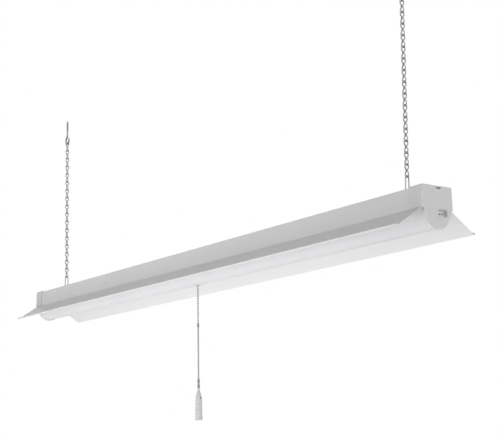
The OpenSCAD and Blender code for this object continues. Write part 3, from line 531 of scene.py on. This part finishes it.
def makeKnob():
    # A bell: its shoulder swells along a half wave and its skirt flares to the foot
    s = knobSetup
    top, low, skirt = s["top"], s["top"] - s["length"], s["length"] - s["rise"] - s["skirtEnd"]
    profile = [(0, top), (s["neck"] - s["neckBevel"], top)]
    for k in range(1, s["steps"] + 1):
        t = k / s["steps"]
        swell = (1 - math.cos(math.pi * t)) / 2
        profile.append((s["neck"] + (s["shoulder"] - s["neck"]) * swell, top - s["rise"] * t))
    profile += [
        (s["shoulder"] + (s["foot"] - s["shoulder"]) * t, top - s["rise"] - skirt * t)
        for t in (0.25, 0.5, 0.75, 1)]
    profile += arcProfile((s["foot"] - s["footRound"], low + s["footRound"]), s["footRound"], 0, -90, 4)
    hollow = low + s["hollow"]
    profile += [(s["foot"] - s["rim"], low), (s["foot"] - s["hollowRim"], hollow), (0, hollow)]
    work = bmesh.new()
    lathe(work, profile, 40)
    tidied(work)
    hole = bmesh.new()
    bmesh.ops.create_cone(
        hole, cap_ends=True, segments=20, radius1=s["holeRadius"], radius2=s["holeRadius"], depth=2 * s["foot"],
        matrix=Matrix.Translation((s["foot"], 0, top - s["holeDrop"])) @ Matrix.Rotation(math.pi / 2, 4, "Y"))
    work = cut(work, hole)
    finished(work, "knob_bell", "pull", ("pull_knob",), "knob_plastic", place=lightPlace, smooth=50)


makePull()
print("pull cord, coupling and knob made")

# ---- Bead chain
beadSetup = {
    "radius": 1.6, "pitch": 4.25, "pin": 0.35, "pivot": -60.2, "swivel": -64.45, "count": 14, "stub": 0.3,
    "collar": 0.42, "collarFoot": 0.5, "collarRise": 0.12, "collarSink": 0.08, "reach": 62, "clear": 4.9,
}


def beadRow(work, low, count):
    # Hollow beads with a collar at each pole, on the pins that join them
    s, r = beadSetup, beadSetup["radius"]
    top, foot = r + s["collarRise"], r - s["collarSink"]
    profile = [(0, -top), (s["collar"], -top), (s["collarFoot"], -foot)]
    profile += arcProfile((0, 0), r, -s["reach"], s["reach"], 10)
    profile += [(s["collarFoot"], foot), (s["collar"], top), (0, top)]
    for k in range(count):
        lathe(work, profile, 14, place=(0, 0, low + k * s["pitch"]))


def makeBeads():
    s = beadSetup
    low = s["swivel"] - s["count"] * s["pitch"]
    stub = s["radius"] + s["stub"]
    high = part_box("bead_chain_upper")[1].z / milli - lightPlace.z
    upper = int((high - s["pivot"] - s["clear"]) // s["pitch"]) + 1
    rows = (
        ("bead_chain_upper", "beads_upper", "switch_plunger", s["pivot"], upper, s["pivot"], high),
        ("swivel_bead", "bead_swivel", "swivel_bead", s["swivel"], 1,
         s["swivel"], s["swivel"] + s["pitch"] - stub),
        ("bead_chain_lower", "beads_lower", "pull", low, s["count"], low - stub, s["swivel"] - stub),
    )
    for node, name, body, first, count, pinLow, pinHigh in rows:
        work = bmesh.new()
        beadRow(work, first, count)
        sweep(work, [(0, 0, pinLow), (0, 0, pinHigh)], s["pin"], 8)
        finished(tidied(work), name, body, (node,), "nickel_chain", place=lightPlace, smooth=60)


makeBeads()
print("bead chain made")

# ---- Jack chains
linkSetup = {
    "pitch": 17, "wire": 2, "radius": 3.3, "height": 9.65, "count": 17, "first": -20.8,
    "station": 532, "waist": 1.02, "neck": 3.2, "twist": 0.9, "shoulder": 1.0,
}


def linkPath():
    # One wire: up round the upper loop, a quarter turn at the waist, down round the lower loop
    s = linkSetup
    h, r, g, rise = s["height"], s["radius"], s["waist"], s["twist"]

    def quarter(angles):
        # The turn at the waist, through three angles
        turned = []
        for angle in angles:
            a = math.radians(angle)
            turned.append(Vector((g * math.cos(a), g * math.sin(a), -h + rise * (angle - angles[1]) / 45)))
        return turned

    half = []
    for k in range(5):
        t = k / 4
        half.append((g + (r - g) * (1 - math.cos(math.pi * t)) / 2, -h + rise + s["neck"] * t))
    half += [(r, -h + rise + s["neck"] + s["shoulder"])]
    half += arcProfile((0, -r), r, 0, 90, 6)
    loop = [(-a, z) for a, z in half] + [(a, z) for a, z in reversed(half[:-1])]
    path = [Vector((0, a, z)) for a, z in loop] + quarter((67.5, 45, 22.5))
    path += [Vector((a, 0, -2 * h - z)) for a, z in reversed(loop)]
    return path + quarter((202.5, 225, 247.5))


def makeChains():
    s = linkSetup
    one = bmesh.new()
    sweep(one, linkPath(), s["wire"] / 2, 10, closed=True)
    tidied(one)
    for side, word in ((-1, "left"), (1, "right")):
        last = s["count"] - 1
        runs = (("top_link_", 0, 0), ("chain_", 1, last - 1), ("bottom_link_", last, last))
        for node, start, end in runs:
            work = bmesh.new()
            for k in range(start, end + 1):
                joined(work, one, Matrix.Translation((side * s["station"], 0, s["first"] - k * s["pitch"])))
            finished(work, node + word + "_wire", node + word, (node + word,), "zinc_wire", smooth=70)
    one.free()


makeChains()

# ---- Hooks, in millimetres; the ring starts and stops at two angles in degrees
hookSetup = {
    "wire": 3.8, "neck": 10, "radius": 7, "ring": (128, 390), "ringSteps": 34, "bend": 3.6, "bendSteps": 7,
    "screw": 22, "tip": 5, "low": 0.6, "thread": 0.3, "root": 0.35, "threadLow": 3.0, "threadPitch": 1.8,
    "crest": (0.8, 1.0), "tipTurns": 4, "tipRoot": 0.2, "tipCrest": 0.25, "tipFlank": 0.6, "tipEnd": 0.3,
}
vHookSetup = {
    "wire": 2, "height": 28, "spread": 7, "bend": 3, "bendSteps": 14, "foot": 6, "footBend": 1.3,
    "sheet": 0.7, "seat": 0.02,
}


def makeCeilingHooks():
    s = hookSetup
    centre = -s["neck"] - s["radius"]
    start, stop = s["ring"]
    ring = [
        Vector((s["radius"] * math.cos(math.radians(a)), 0, centre + s["radius"] * math.sin(math.radians(a))))
        for a in [start + (stop - start) * k / s["ringSteps"] for k in range(s["ringSteps"] + 1)]]
    along = Vector((-math.sin(math.radians(start)), 0, math.cos(math.radians(start))))
    corner = Vector((0, 0, ring[0].z - ring[0].x * along.z / along.x))
    top = Vector((0, 0, corner.z + s["bend"]))
    neck = [
        (1 - t) ** 2 * top + 2 * t * (1 - t) * corner + t * t * ring[0]
        for t in (k / s["bendSteps"] for k in range(s["bendSteps"]))]
    outer, root = s["wire"] / 2 + s["thread"], s["wire"] / 2 - s["root"]
    thread = [(s["wire"] / 2, s["low"])]
    z = s["threadLow"]
    while z < s["screw"] - s["threadPitch"]:
        thread += [(root, z), *((outer, z + rise) for rise in s["crest"])]
        z += s["threadPitch"]
    turns = s["tipTurns"]
    for k in range(turns):
        size = 1 - (k + 1) / (turns + 1)
        thread += [(root * size + s["tipRoot"], z), (outer * size + s["tipCrest"], z + s["tipFlank"])]
        z += (s["screw"] + s["tip"] - s["tipEnd"] - z) / (turns - k)
    thread += [(0, s["screw"] + s["tip"])]
    for side, word in ((-1, "left"), (1, "right")):
        work = bmesh.new()
        sweep(work, [Vector((0, 0, s["low"]))] + neck + ring, s["wire"] / 2, 20)
        lathe(work, [(0, 0.5)] + thread, 24)
        end = ring[-1]
        bmesh.ops.create_uvsphere(
            work, u_segments=20, v_segments=12, radius=s["wire"] / 2, matrix=Matrix.Translation(end))
        finished(
            tidied(work), "hook_screwed_" + word, "ceiling_hooks", ("ceiling_hook_" + word,), "zinc_wire",
            place=(side * linkSetup["station"], 0, 0), smooth=45)


def makeVHooks():
    s = vHookSetup
    centre = s["height"] - s["wire"] / 2 - s["bend"]
    footZ = -s["sheet"] - s["seat"] - s["wire"] / 2
    footY = s["spread"] / 2
    distance = math.hypot(footY, footZ - centre)
    tangent = math.atan2(footZ - centre, footY) + math.acos(s["bend"] / distance)
    bend = [
        Vector((0, s["bend"] * math.cos(a), centre + s["bend"] * math.sin(a)))
        for a in (tangent + (math.pi - 2 * tangent) * k / s["bendSteps"] for k in range(s["bendSteps"] + 1))]
    leg = rounded([(0, footY + s["foot"], footZ), (0, footY, footZ), bend[0]], s["footBend"], 6)
    path = leg[:-1] + bend + [Vector((0, -p.y, p.z)) for p in reversed(leg[:-1])]
    for side, word in ((-1, "left"), (1, "right")):
        work = bmesh.new()
        sweep(work, path, s["wire"] / 2, 14)
        finished(
            tidied(work), "v_hook_bent_" + word, "light", ("v_hook_" + word,), "zinc_wire",
            place=(side * linkSetup["station"], 0, lightPlace.z), smooth=60)


makeCeilingHooks()
makeVHooks()
print("chains and hooks made")

# ---- Housing: one folded sheet with a rolled hem along each wing
# Points of its section are y and z; the ground hole is x, y and radius; the latch is half its length and
# width, then its offset
housingSetup = {
    "half": 602.7, "top": 26, "fold": (27.5, -30.5), "tip": (69.5, -58.5), "sheet": 0.7,
    "hem": 1.7, "hemTurn": 302, "bend": 1.3, "hookHole": 1.8, "hookSpread": 3.5,
    "driverScrews": (-318, -182), "driverHole": 1.7, "groundHole": (-503, 0, 2.1), "holeDepth": 6,
    "latchX": 593.7, "latch": (1.8, 4.5, 3), "latchDepth": 4,
}


def makeHousing():
    s = housingSetup
    mid = s["sheet"] / 2
    fold, tip = Vector(s["fold"]), Vector(s["tip"])
    side = Vector((s["fold"][1], s["top"] - s["fold"][0])).normalized()
    wing = Vector((tip.y - fold.y, fold.x - tip.x)).normalized()
    roof = Vector((0, -1))

    def inner(point, a, b):
        return Vector(point) + mid * (a + b) / (1 + a.dot(b))

    corners = [Vector((0, -mid)), inner((s["top"], 0), roof, side), inner(fold, side, wing), tip + mid * wing]
    work = bmesh.new()
    verts = [work.verts.new((-s["half"], p.x, p.y)) for p in corners]
    for pair in zip(verts, verts[1:]):
        work.edges.new(pair)
    roll = tip - (s["hem"] - s["sheet"]) * wing
    bmesh.ops.spin(
        work, geom=[verts[-1]], cent=(-s["half"], roll.x, roll.y), axis=(1, 0, 0), dvec=(0, 0, 0),
        angle=math.radians(s["hemTurn"]), steps=20, use_merge=False, use_normal_flip=False, use_duplicate=False)
    bmesh.ops.bevel(
        work, geom=verts[1:3], offset=s["bend"], offset_type="OFFSET", segments=4, profile=0.5,
        affect="VERTICES", material=-1)
    bmesh.ops.mirror(work, geom=work.verts[:] + work.edges[:], axis="Y", merge_dist=weld)
    bmesh.ops.remove_doubles(work, verts=work.verts, dist=weld)
    made = bmesh.ops.extrude_edge_only(work, edges=work.edges[:])["geom"]
    bmesh.ops.translate(
        work, verts=[g for g in made if isinstance(g, bmesh.types.BMVert)], vec=(2 * s["half"], 0, 0))
    bmesh.ops.recalc_face_normals(work, faces=work.faces)
    mesh = bpy.data.meshes.new("sheet")
    work.to_mesh(mesh)
    work.free()
    thing = bpy.data.objects.new("sheet", mesh)
    scene.collection.objects.link(thing)
    wall = thing.modifiers.new("wall", "SOLIDIFY")
    wall.thickness, wall.offset, wall.use_even_offset = s["sheet"], 0, True
    bpy.context.view_layer.update()
    solid = thing.evaluated_get(bpy.context.evaluated_depsgraph_get())
    work = bmesh.new()
    work.from_mesh(solid.to_mesh())
    solid.to_mesh_clear()
    unlink(thing)
    tool = bmesh.new()

    def hole(x, y, radius):
        bmesh.ops.create_cone(
            tool, cap_ends=True, segments=24, radius1=radius, radius2=radius, depth=s["holeDepth"],
            matrix=Matrix.Translation((x, y, 0)))

    for end in (-1, 1):
        for way in (-1, 1):
            hole(end * linkSetup["station"] - lightPlace.x, way * s["hookSpread"], s["hookHole"])
        half, wide, offset = s["latch"]
        bmesh.ops.create_cube(
            tool, size=1, matrix=Matrix.Translation((end * s["latchX"], end * offset, 0))
            @ Matrix.Diagonal((2 * half, 2 * wide, s["latchDepth"], 1)))
    for x in s["driverScrews"]:
        hole(x, 0, s["driverHole"])
    hole(*s["groundHole"])
    bmesh.ops.recalc_face_normals(work, faces=work.faces)
    work = cut(work, tool)
    finished(work, "housing_folded", "light", ("housing",), "enamel", place=lightPlace, smooth=32)


makeHousing()
print("housing made")

# ---- Pieces that keep the CAD shape, with their edges softened
softSetup = {
    "end_cap_link_end": ("cap_link_moulded", 0.2), "end_cap_cord_end": ("cap_inlet_moulded", 0.2),
    "link_receptacle": ("receptacle_moulded", 0.35), "receptacle_contacts": ("contacts_rolled", 0.08),
    "cord_gland": ("gland_moulded", 0.4), "lens": ("lens_extruded", 0.15),
    "lens_grommet": ("eyelet_moulded", 0.3), "gear_tray": ("tray_folded", 0.2),
    "tray_brackets": ("brackets_folded", 0.2), "tray_grommet": ("grommet_moulded", 0.3),
    "led_boards": ("boards_routed", 0.12), "driver_case": ("driver_case_folded", 0.3),
    "driver_board": ("driver_board_stuffed", 0.3), "ground_screw": ("ground_screw_lug", 0.2),
    "wire_nuts": ("wire_nuts_moulded", 0.4), "wire_clips": ("clips_moulded", 0.25),
    "pull_switch_body": ("switch_body_moulded", 0.35), "pull_switch_cover": ("switch_cover_moulded", 0.3),
    "pull_switch_nut": ("switch_nut_turned", 0.35), "pull_switch_contacts": ("switch_blades_stamped", 0.12),
}
softBodies = {
    "pull_switch_rotor": ("rotor_moulded", 0.3, "switch_rotor"),
    "pull_switch_plunger": ("plunger_moulded", 0.25, "switch_plunger"),
}
wireNodes = ("line_wire", "neutral_wire", "ground_wires", "switch_leads", "output_wires")


def makeSoftened():
    for node, (name, width) in softSetup.items():
        softened(node, name, width)
    for node, (name, width, body) in softBodies.items():
        softened(node, name, width, body)
    for node in wireNodes:
        finished(copied(node), node + "_drawn", "light", (node,), slotOf[node], smooth=60)


makeSoftened()
print("softened pieces made")

# ---- Screws, diodes and connectors, each built once and set at its places
# Name, radius and height of the head, radius and length of the thread, and 1 where the thread points up
screws = {
    "tray_screws": ("tray_screws_driven", 2.6, 1.5, 1.5, 5, 1),
    "board_screws": ("board_screws_driven", 2.6, 1.4, 1.3, 4, 1),
    "driver_screws": ("driver_screws_driven", 3, 1.6, 1.25, 5.5, -1),
}
# Outlines in shares of those radii and heights, lengths along the thread in millimetres, and the turn in
# radians from one screw to the next
screwSetup = {
    "head": ((0.5, -1), (0.78, -0.93), (0.93, -0.68), (1, -0.3), (1, 0)),
    "neck": 0.86, "root": 0.84, "tip": 0.3,
    "threadLow": 0.5, "threadTop": 1.3, "pitch": 0.8, "crest": (0.3, 0.4), "rootRise": 0.7,
    "crossReach": 0.575, "crossWidth": 0.13, "crossLow": -1.6, "crossHigh": -0.45, "turnEach": 0.7,
}
diodeSetup = {"chamfer": 0.3, "upright": 0.1, "rim": 0.35, "slope": 0.12, "depth": 0.14}
jumperSetup = {"bevel": 0.3, "ribs": 4, "inset": 1.2, "pitch": 0.9, "width": 0.4, "ends": 1.4, "height": 0.5}
lidSetup = {"rim": 3, "slope": 0.5, "depth": 0.3, "sharp": 1.2, "bevel": 0.2}


def islands(name):
    # The low and high corners of each separate solid of a CAD node, in millimetres
    work = copied(name)
    left = set(work.verts)
    found = []
    while left:
        first = left.pop()
        group, todo = [first], [first]
        while todo:
            for edge in todo.pop().link_edges:
                for vert in edge.verts:
                    if vert in left:
                        left.remove(vert)
                        group.append(vert)
                        todo.append(vert)
        found.append((
            Vector(min(v.co[k] for v in group) for k in range(3)),
            Vector(max(v.co[k] for v in group) for k in range(3))))
    work.free()
    return sorted(found, key=lambda pair: tuple(pair[0]))


def screw(head, headHeight, shank, length):
    # A pan head with a cross recess, on a threaded shank that points upwards
    s = screwSetup
    profile = [(0, -headHeight)] + [(head * x, headHeight * y) for x, y in s["head"]] + [(shank * s["neck"], 0)]
    root, z = shank * s["root"], s["threadLow"]
    while z < length - s["threadTop"]:
        profile += [(root, z), *((shank, z + rise) for rise in s["crest"]), (root, z + s["rootRise"])]
        z += s["pitch"]
    profile += [(shank * s["tip"], length), (0, length)]
    work = bmesh.new()
    lathe(work, profile, 20)
    tidied(work)
    return cut(work, crossTool(
        s["crossReach"] * head, s["crossWidth"] * head,
        s["crossLow"] * headHeight, s["crossHigh"] * headHeight))


def crossTool(reach, width, low, high):
    # A cross-shaped prism, one closed solid
    corner = [(reach, width), (width, width), (width, reach)]
    outline = []
    for turn in range(4):
        outline += corner
        corner = [(-y, x) for x, y in corner]
    tool = bmesh.new()
    face = tool.faces.new([tool.verts.new((x, y, low)) for x, y in outline])
    made = bmesh.ops.extrude_face_region(tool, geom=[face])["geom"]
    bmesh.ops.translate(
        tool, verts=[g for g in made if isinstance(g, bmesh.types.BMVert)], vec=(0, 0, high - low))
    bmesh.ops.recalc_face_normals(tool, faces=tool.faces)
    return tool


def makeScrews():
    for node, (name, head, headHeight, shank, length, way) in screws.items():
        one = screw(head, headHeight, shank, length)
        work = bmesh.new()
        for k, (low, high) in enumerate(islands(node)):
            middle = (low + high) / 2
            seat = low.z + headHeight if way > 0 else high.z - headHeight
            flip = Matrix.Identity(4) if way > 0 else Matrix.Rotation(math.pi, 4, "X")
            joined(work, one, Matrix.Translation((middle.x, middle.y, seat)) @ flip
                   @ Matrix.Rotation(screwSetup["turnEach"] * k, 4, "Z"))
        one.free()
        finished(work, name, "light", (node,), slotOf[node], smooth=35)


def makeDiodes():
    # A white body with a sunken pad of yellow gel
    s = diodeSetup
    work = bmesh.new()
    rows = islands("led_chips")
    size = rows[0][1] - rows[0][0]
    one = bmesh.new()
    bmesh.ops.create_cube(one, size=1, matrix=Matrix.Diagonal((size.x, size.y, size.z, 1)))
    upright = [e for e in one.edges if abs((e.verts[0].co - e.verts[1].co).z) > s["upright"]]
    bmesh.ops.bevel(
        one, geom=upright, offset=s["chamfer"], offset_type="OFFSET", segments=1, profile=0.5, affect="EDGES",
        material=-1)
    face = min(one.faces, key=lambda f: f.calc_center_median().z)
    bmesh.ops.inset_region(one, faces=[face], thickness=s["rim"], depth=0)
    bmesh.ops.inset_region(one, faces=[face], thickness=s["slope"], depth=-s["depth"])
    face.material_index = 1
    for low, high in rows:
        joined(work, one, Matrix.Translation((low + high) / 2))
    one.free()
    finished(work, "diodes_potted", "light", ("led_chips",), "led_phosphor",
             [finishes["white_plastic"], finishes["led_phosphor"]], smooth=30)


def makeJumpers():
    # Plug-in connectors with a ribbed grip on the face that shows
    s = jumperSetup
    work = bmesh.new()
    for low, high in islands("board_jumpers"):
        size, middle = high - low, (low + high) / 2
        one = bmesh.new()
        bmesh.ops.create_cube(one, size=1, matrix=Matrix.Diagonal((size.x, size.y, size.z, 1)))
        bmesh.ops.bevel(
            one, geom=one.edges[:], offset=s["bevel"], offset_type="OFFSET", segments=2, profile=0.5,
            affect="EDGES", material=-1)
        tool = bmesh.new()
        for end in (-1, 1):
            for k in range(s["ribs"]):
                x = end * (size.x / 2 - s["inset"] - s["pitch"] * k)
                bmesh.ops.create_cube(
                    tool, size=1, matrix=Matrix.Translation((x, 0, -size.z / 2))
                    @ Matrix.Diagonal((s["width"], size.y - s["ends"], s["height"], 1)))
        one = cut(one, tool)
        joined(work, one, Matrix.Translation(middle))
        one.free()
    finished(work, "jumpers_moulded", "light", ("board_jumpers",), slotOf["board_jumpers"], smooth=35)


def makeLid():
    # A lid with rolled edges and a sunken panel that stiffens it
    s = lidSetup
    (low, high), = islands("driver_lid")
    size, middle = high - low, (low + high) / 2
    work = bmesh.new()
    bmesh.ops.create_cube(
        work, size=1, matrix=Matrix.Translation(middle) @ Matrix.Diagonal((size.x, size.y, size.z, 1)))
    face = min(work.faces, key=lambda f: f.calc_center_median().z)
    bmesh.ops.inset_region(work, faces=[face], thickness=s["rim"], depth=0)
    bmesh.ops.inset_region(work, faces=[face], thickness=s["slope"], depth=-s["depth"])
    outer = [e for e in work.edges if len(e.link_faces) == 2 and e.calc_face_angle(0) > s["sharp"]]
    bmesh.ops.bevel(
        work, geom=outer, offset=s["bevel"], offset_type="OFFSET", segments=2, profile=0.5, affect="EDGES",
        material=-1)
    finished(work, "driver_lid_pressed", "light", ("driver_lid",), "zinc_plate", smooth=35)


springSetup = {"keep": 0.26, "wire": 0.6, "radius": 2.75, "turns": 5, "perTurn": 16}


def makeSpring():
    # A coil drawn from turn to turn
    low, high = (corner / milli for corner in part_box("pull_switch_spring"))
    s = springSetup
    count = s["turns"] * s["perTurn"]
    start, end = low.z + s["wire"] / 2, high.z - s["wire"] / 2
    path = []
    for k in range(count + 1):
        turn = 2 * math.pi * k / s["perTurn"]
        path.append(Vector((
            s["radius"] * math.cos(turn), s["radius"] * math.sin(turn), start + (end - start) * k / count)))
    work = bmesh.new()
    sweep(work, path, s["wire"] / 2, 10)
    coil = finished(
        tidied(work), "spring_coiled", "light", ("pull_switch_spring",), "spring_steel",
        place=(lightPlace.x, 0, 0), smooth=60)
    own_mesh(coil)


makeScrews()
makeDiodes()
makeJumpers()
makeLid()
crimped("connector_crimped", "chain_connector", connectorSetup)
makeSpring()
print("screws, diodes, connectors and spring made")

# ---- Light: a pale floor, soft lamps and a plain surround
studio = {
    "floorZ": -1.02, "floorSize": 14, "floorWhite": 0.88, "floorRoughness": 0.8, "floorGlow": 0.5,
    "surround": 0.165,
}
# Place, size, watts and turn in degrees of each soft lamp
lamps = {
    "softboxBelow": ((-0.35, -0.55, -0.99), (1.7, 1.0), 7.2, (146, 0, 0)),
    "softboxUnder": ((-0.3, 0.1, -0.99), (2.2, 1.2), 6.9, (180, 0, 0)),
    "softboxFront": ((0.2, -2.6, -0.35), (2.6, 1.2), 19.5, (90, 0, 0)),
    "softboxSide": ((2.9, -0.3, -0.45), (1.6, 1.2), 25.5, (90, 0, 90)),
    "softboxAbove": ((0.3, -0.6, 1.6), (2.4, 2.4), 0.3, (0, 0, 0)),
    "softboxBack": ((-0.2, 2.6, 0.3), (2.6, 1.2), 15, (-80, 0, 0)),
}


def makeSurround():
    # White to the camera and in reflections, dim as a source of light
    world = bpy.data.worlds.new("surround")
    scene.world = world
    world.use_nodes = True
    tree = world.node_tree
    tree.nodes.clear()
    path = tree.nodes.new("ShaderNodeLightPath")
    seen = path.outputs["Is Camera Ray"]
    for ray in ("Is Glossy Ray", "Is Transmission Ray"):
        either = tree.nodes.new("ShaderNodeMath")
        either.operation = "MAXIMUM"
        tree.links.new(seen, either.inputs[0])
        tree.links.new(path.outputs[ray], either.inputs[1])
        seen = either.outputs[0]
    level = tree.nodes.new("ShaderNodeMapRange")
    level.inputs["To Min"].default_value = studio["surround"]
    level.inputs["To Max"].default_value = 1
    tree.links.new(seen, level.inputs["Value"])
    back = tree.nodes.new("ShaderNodeBackground")
    back.inputs["Color"].default_value = (1, 1, 1, 1)
    tree.links.new(level.outputs["Result"], back.inputs["Strength"])
    output = tree.nodes.new("ShaderNodeOutputWorld")
    tree.links.new(back.outputs[0], output.inputs["Surface"])


def makeFloor():
    work = bmesh.new()
    bmesh.ops.create_grid(
        work, x_segments=1, y_segments=1, size=studio["floorSize"] / 2,
        matrix=Matrix.Translation((0, 0, studio["floorZ"])))
    mesh = bpy.data.meshes.new("floor")
    work.to_mesh(mesh)
    work.free()
    floor = bpy.data.objects.new("floor", mesh)
    scene.collection.objects.link(floor)
    material = bpy.data.materials.new("paleFloor")
    material.use_nodes = True
    tree = material.node_tree
    shader, white = tree.nodes["Principled BSDF"], studio["floorWhite"]
    shader.inputs["Base Color"].default_value = (white, white, white, 1)
    shader.inputs["Roughness"].default_value = studio["floorRoughness"]
    glow = tree.nodes.new("ShaderNodeEmission")
    mixer = tree.nodes.new("ShaderNodeMixShader")
    path = tree.nodes.new("ShaderNodeLightPath")
    share = tree.nodes.new("ShaderNodeMath")
    share.operation = "MULTIPLY"
    share.inputs[1].default_value = studio["floorGlow"]
    tree.links.new(path.outputs["Is Camera Ray"], share.inputs[0])
    tree.links.new(share.outputs[0], mixer.inputs[0])
    tree.links.new(shader.outputs[0], mixer.inputs[1])
    tree.links.new(glow.outputs[0], mixer.inputs[2])
    tree.links.new(mixer.outputs[0], tree.nodes["Material Output"].inputs["Surface"])
    mesh.materials.append(material)


def makeLamps():
    for name, (place, size, power, turn) in lamps.items():
        lamp = bpy.data.objects.new(name, bpy.data.lights.new(name, "AREA"))
        scene.collection.objects.link(lamp)
        lamp.data.shape = "RECTANGLE"
        lamp.data.size, lamp.data.size_y = size
        lamp.data.energy = power
        lamp.location = place
        lamp.rotation_euler = tuple(math.radians(angle) for angle in turn)
        lamp.visible_camera = False
        lamp.visible_glossy = False


makeSurround()
makeFloor()
makeLamps()
scene.view_settings.view_transform = "Standard"
print("studio made")
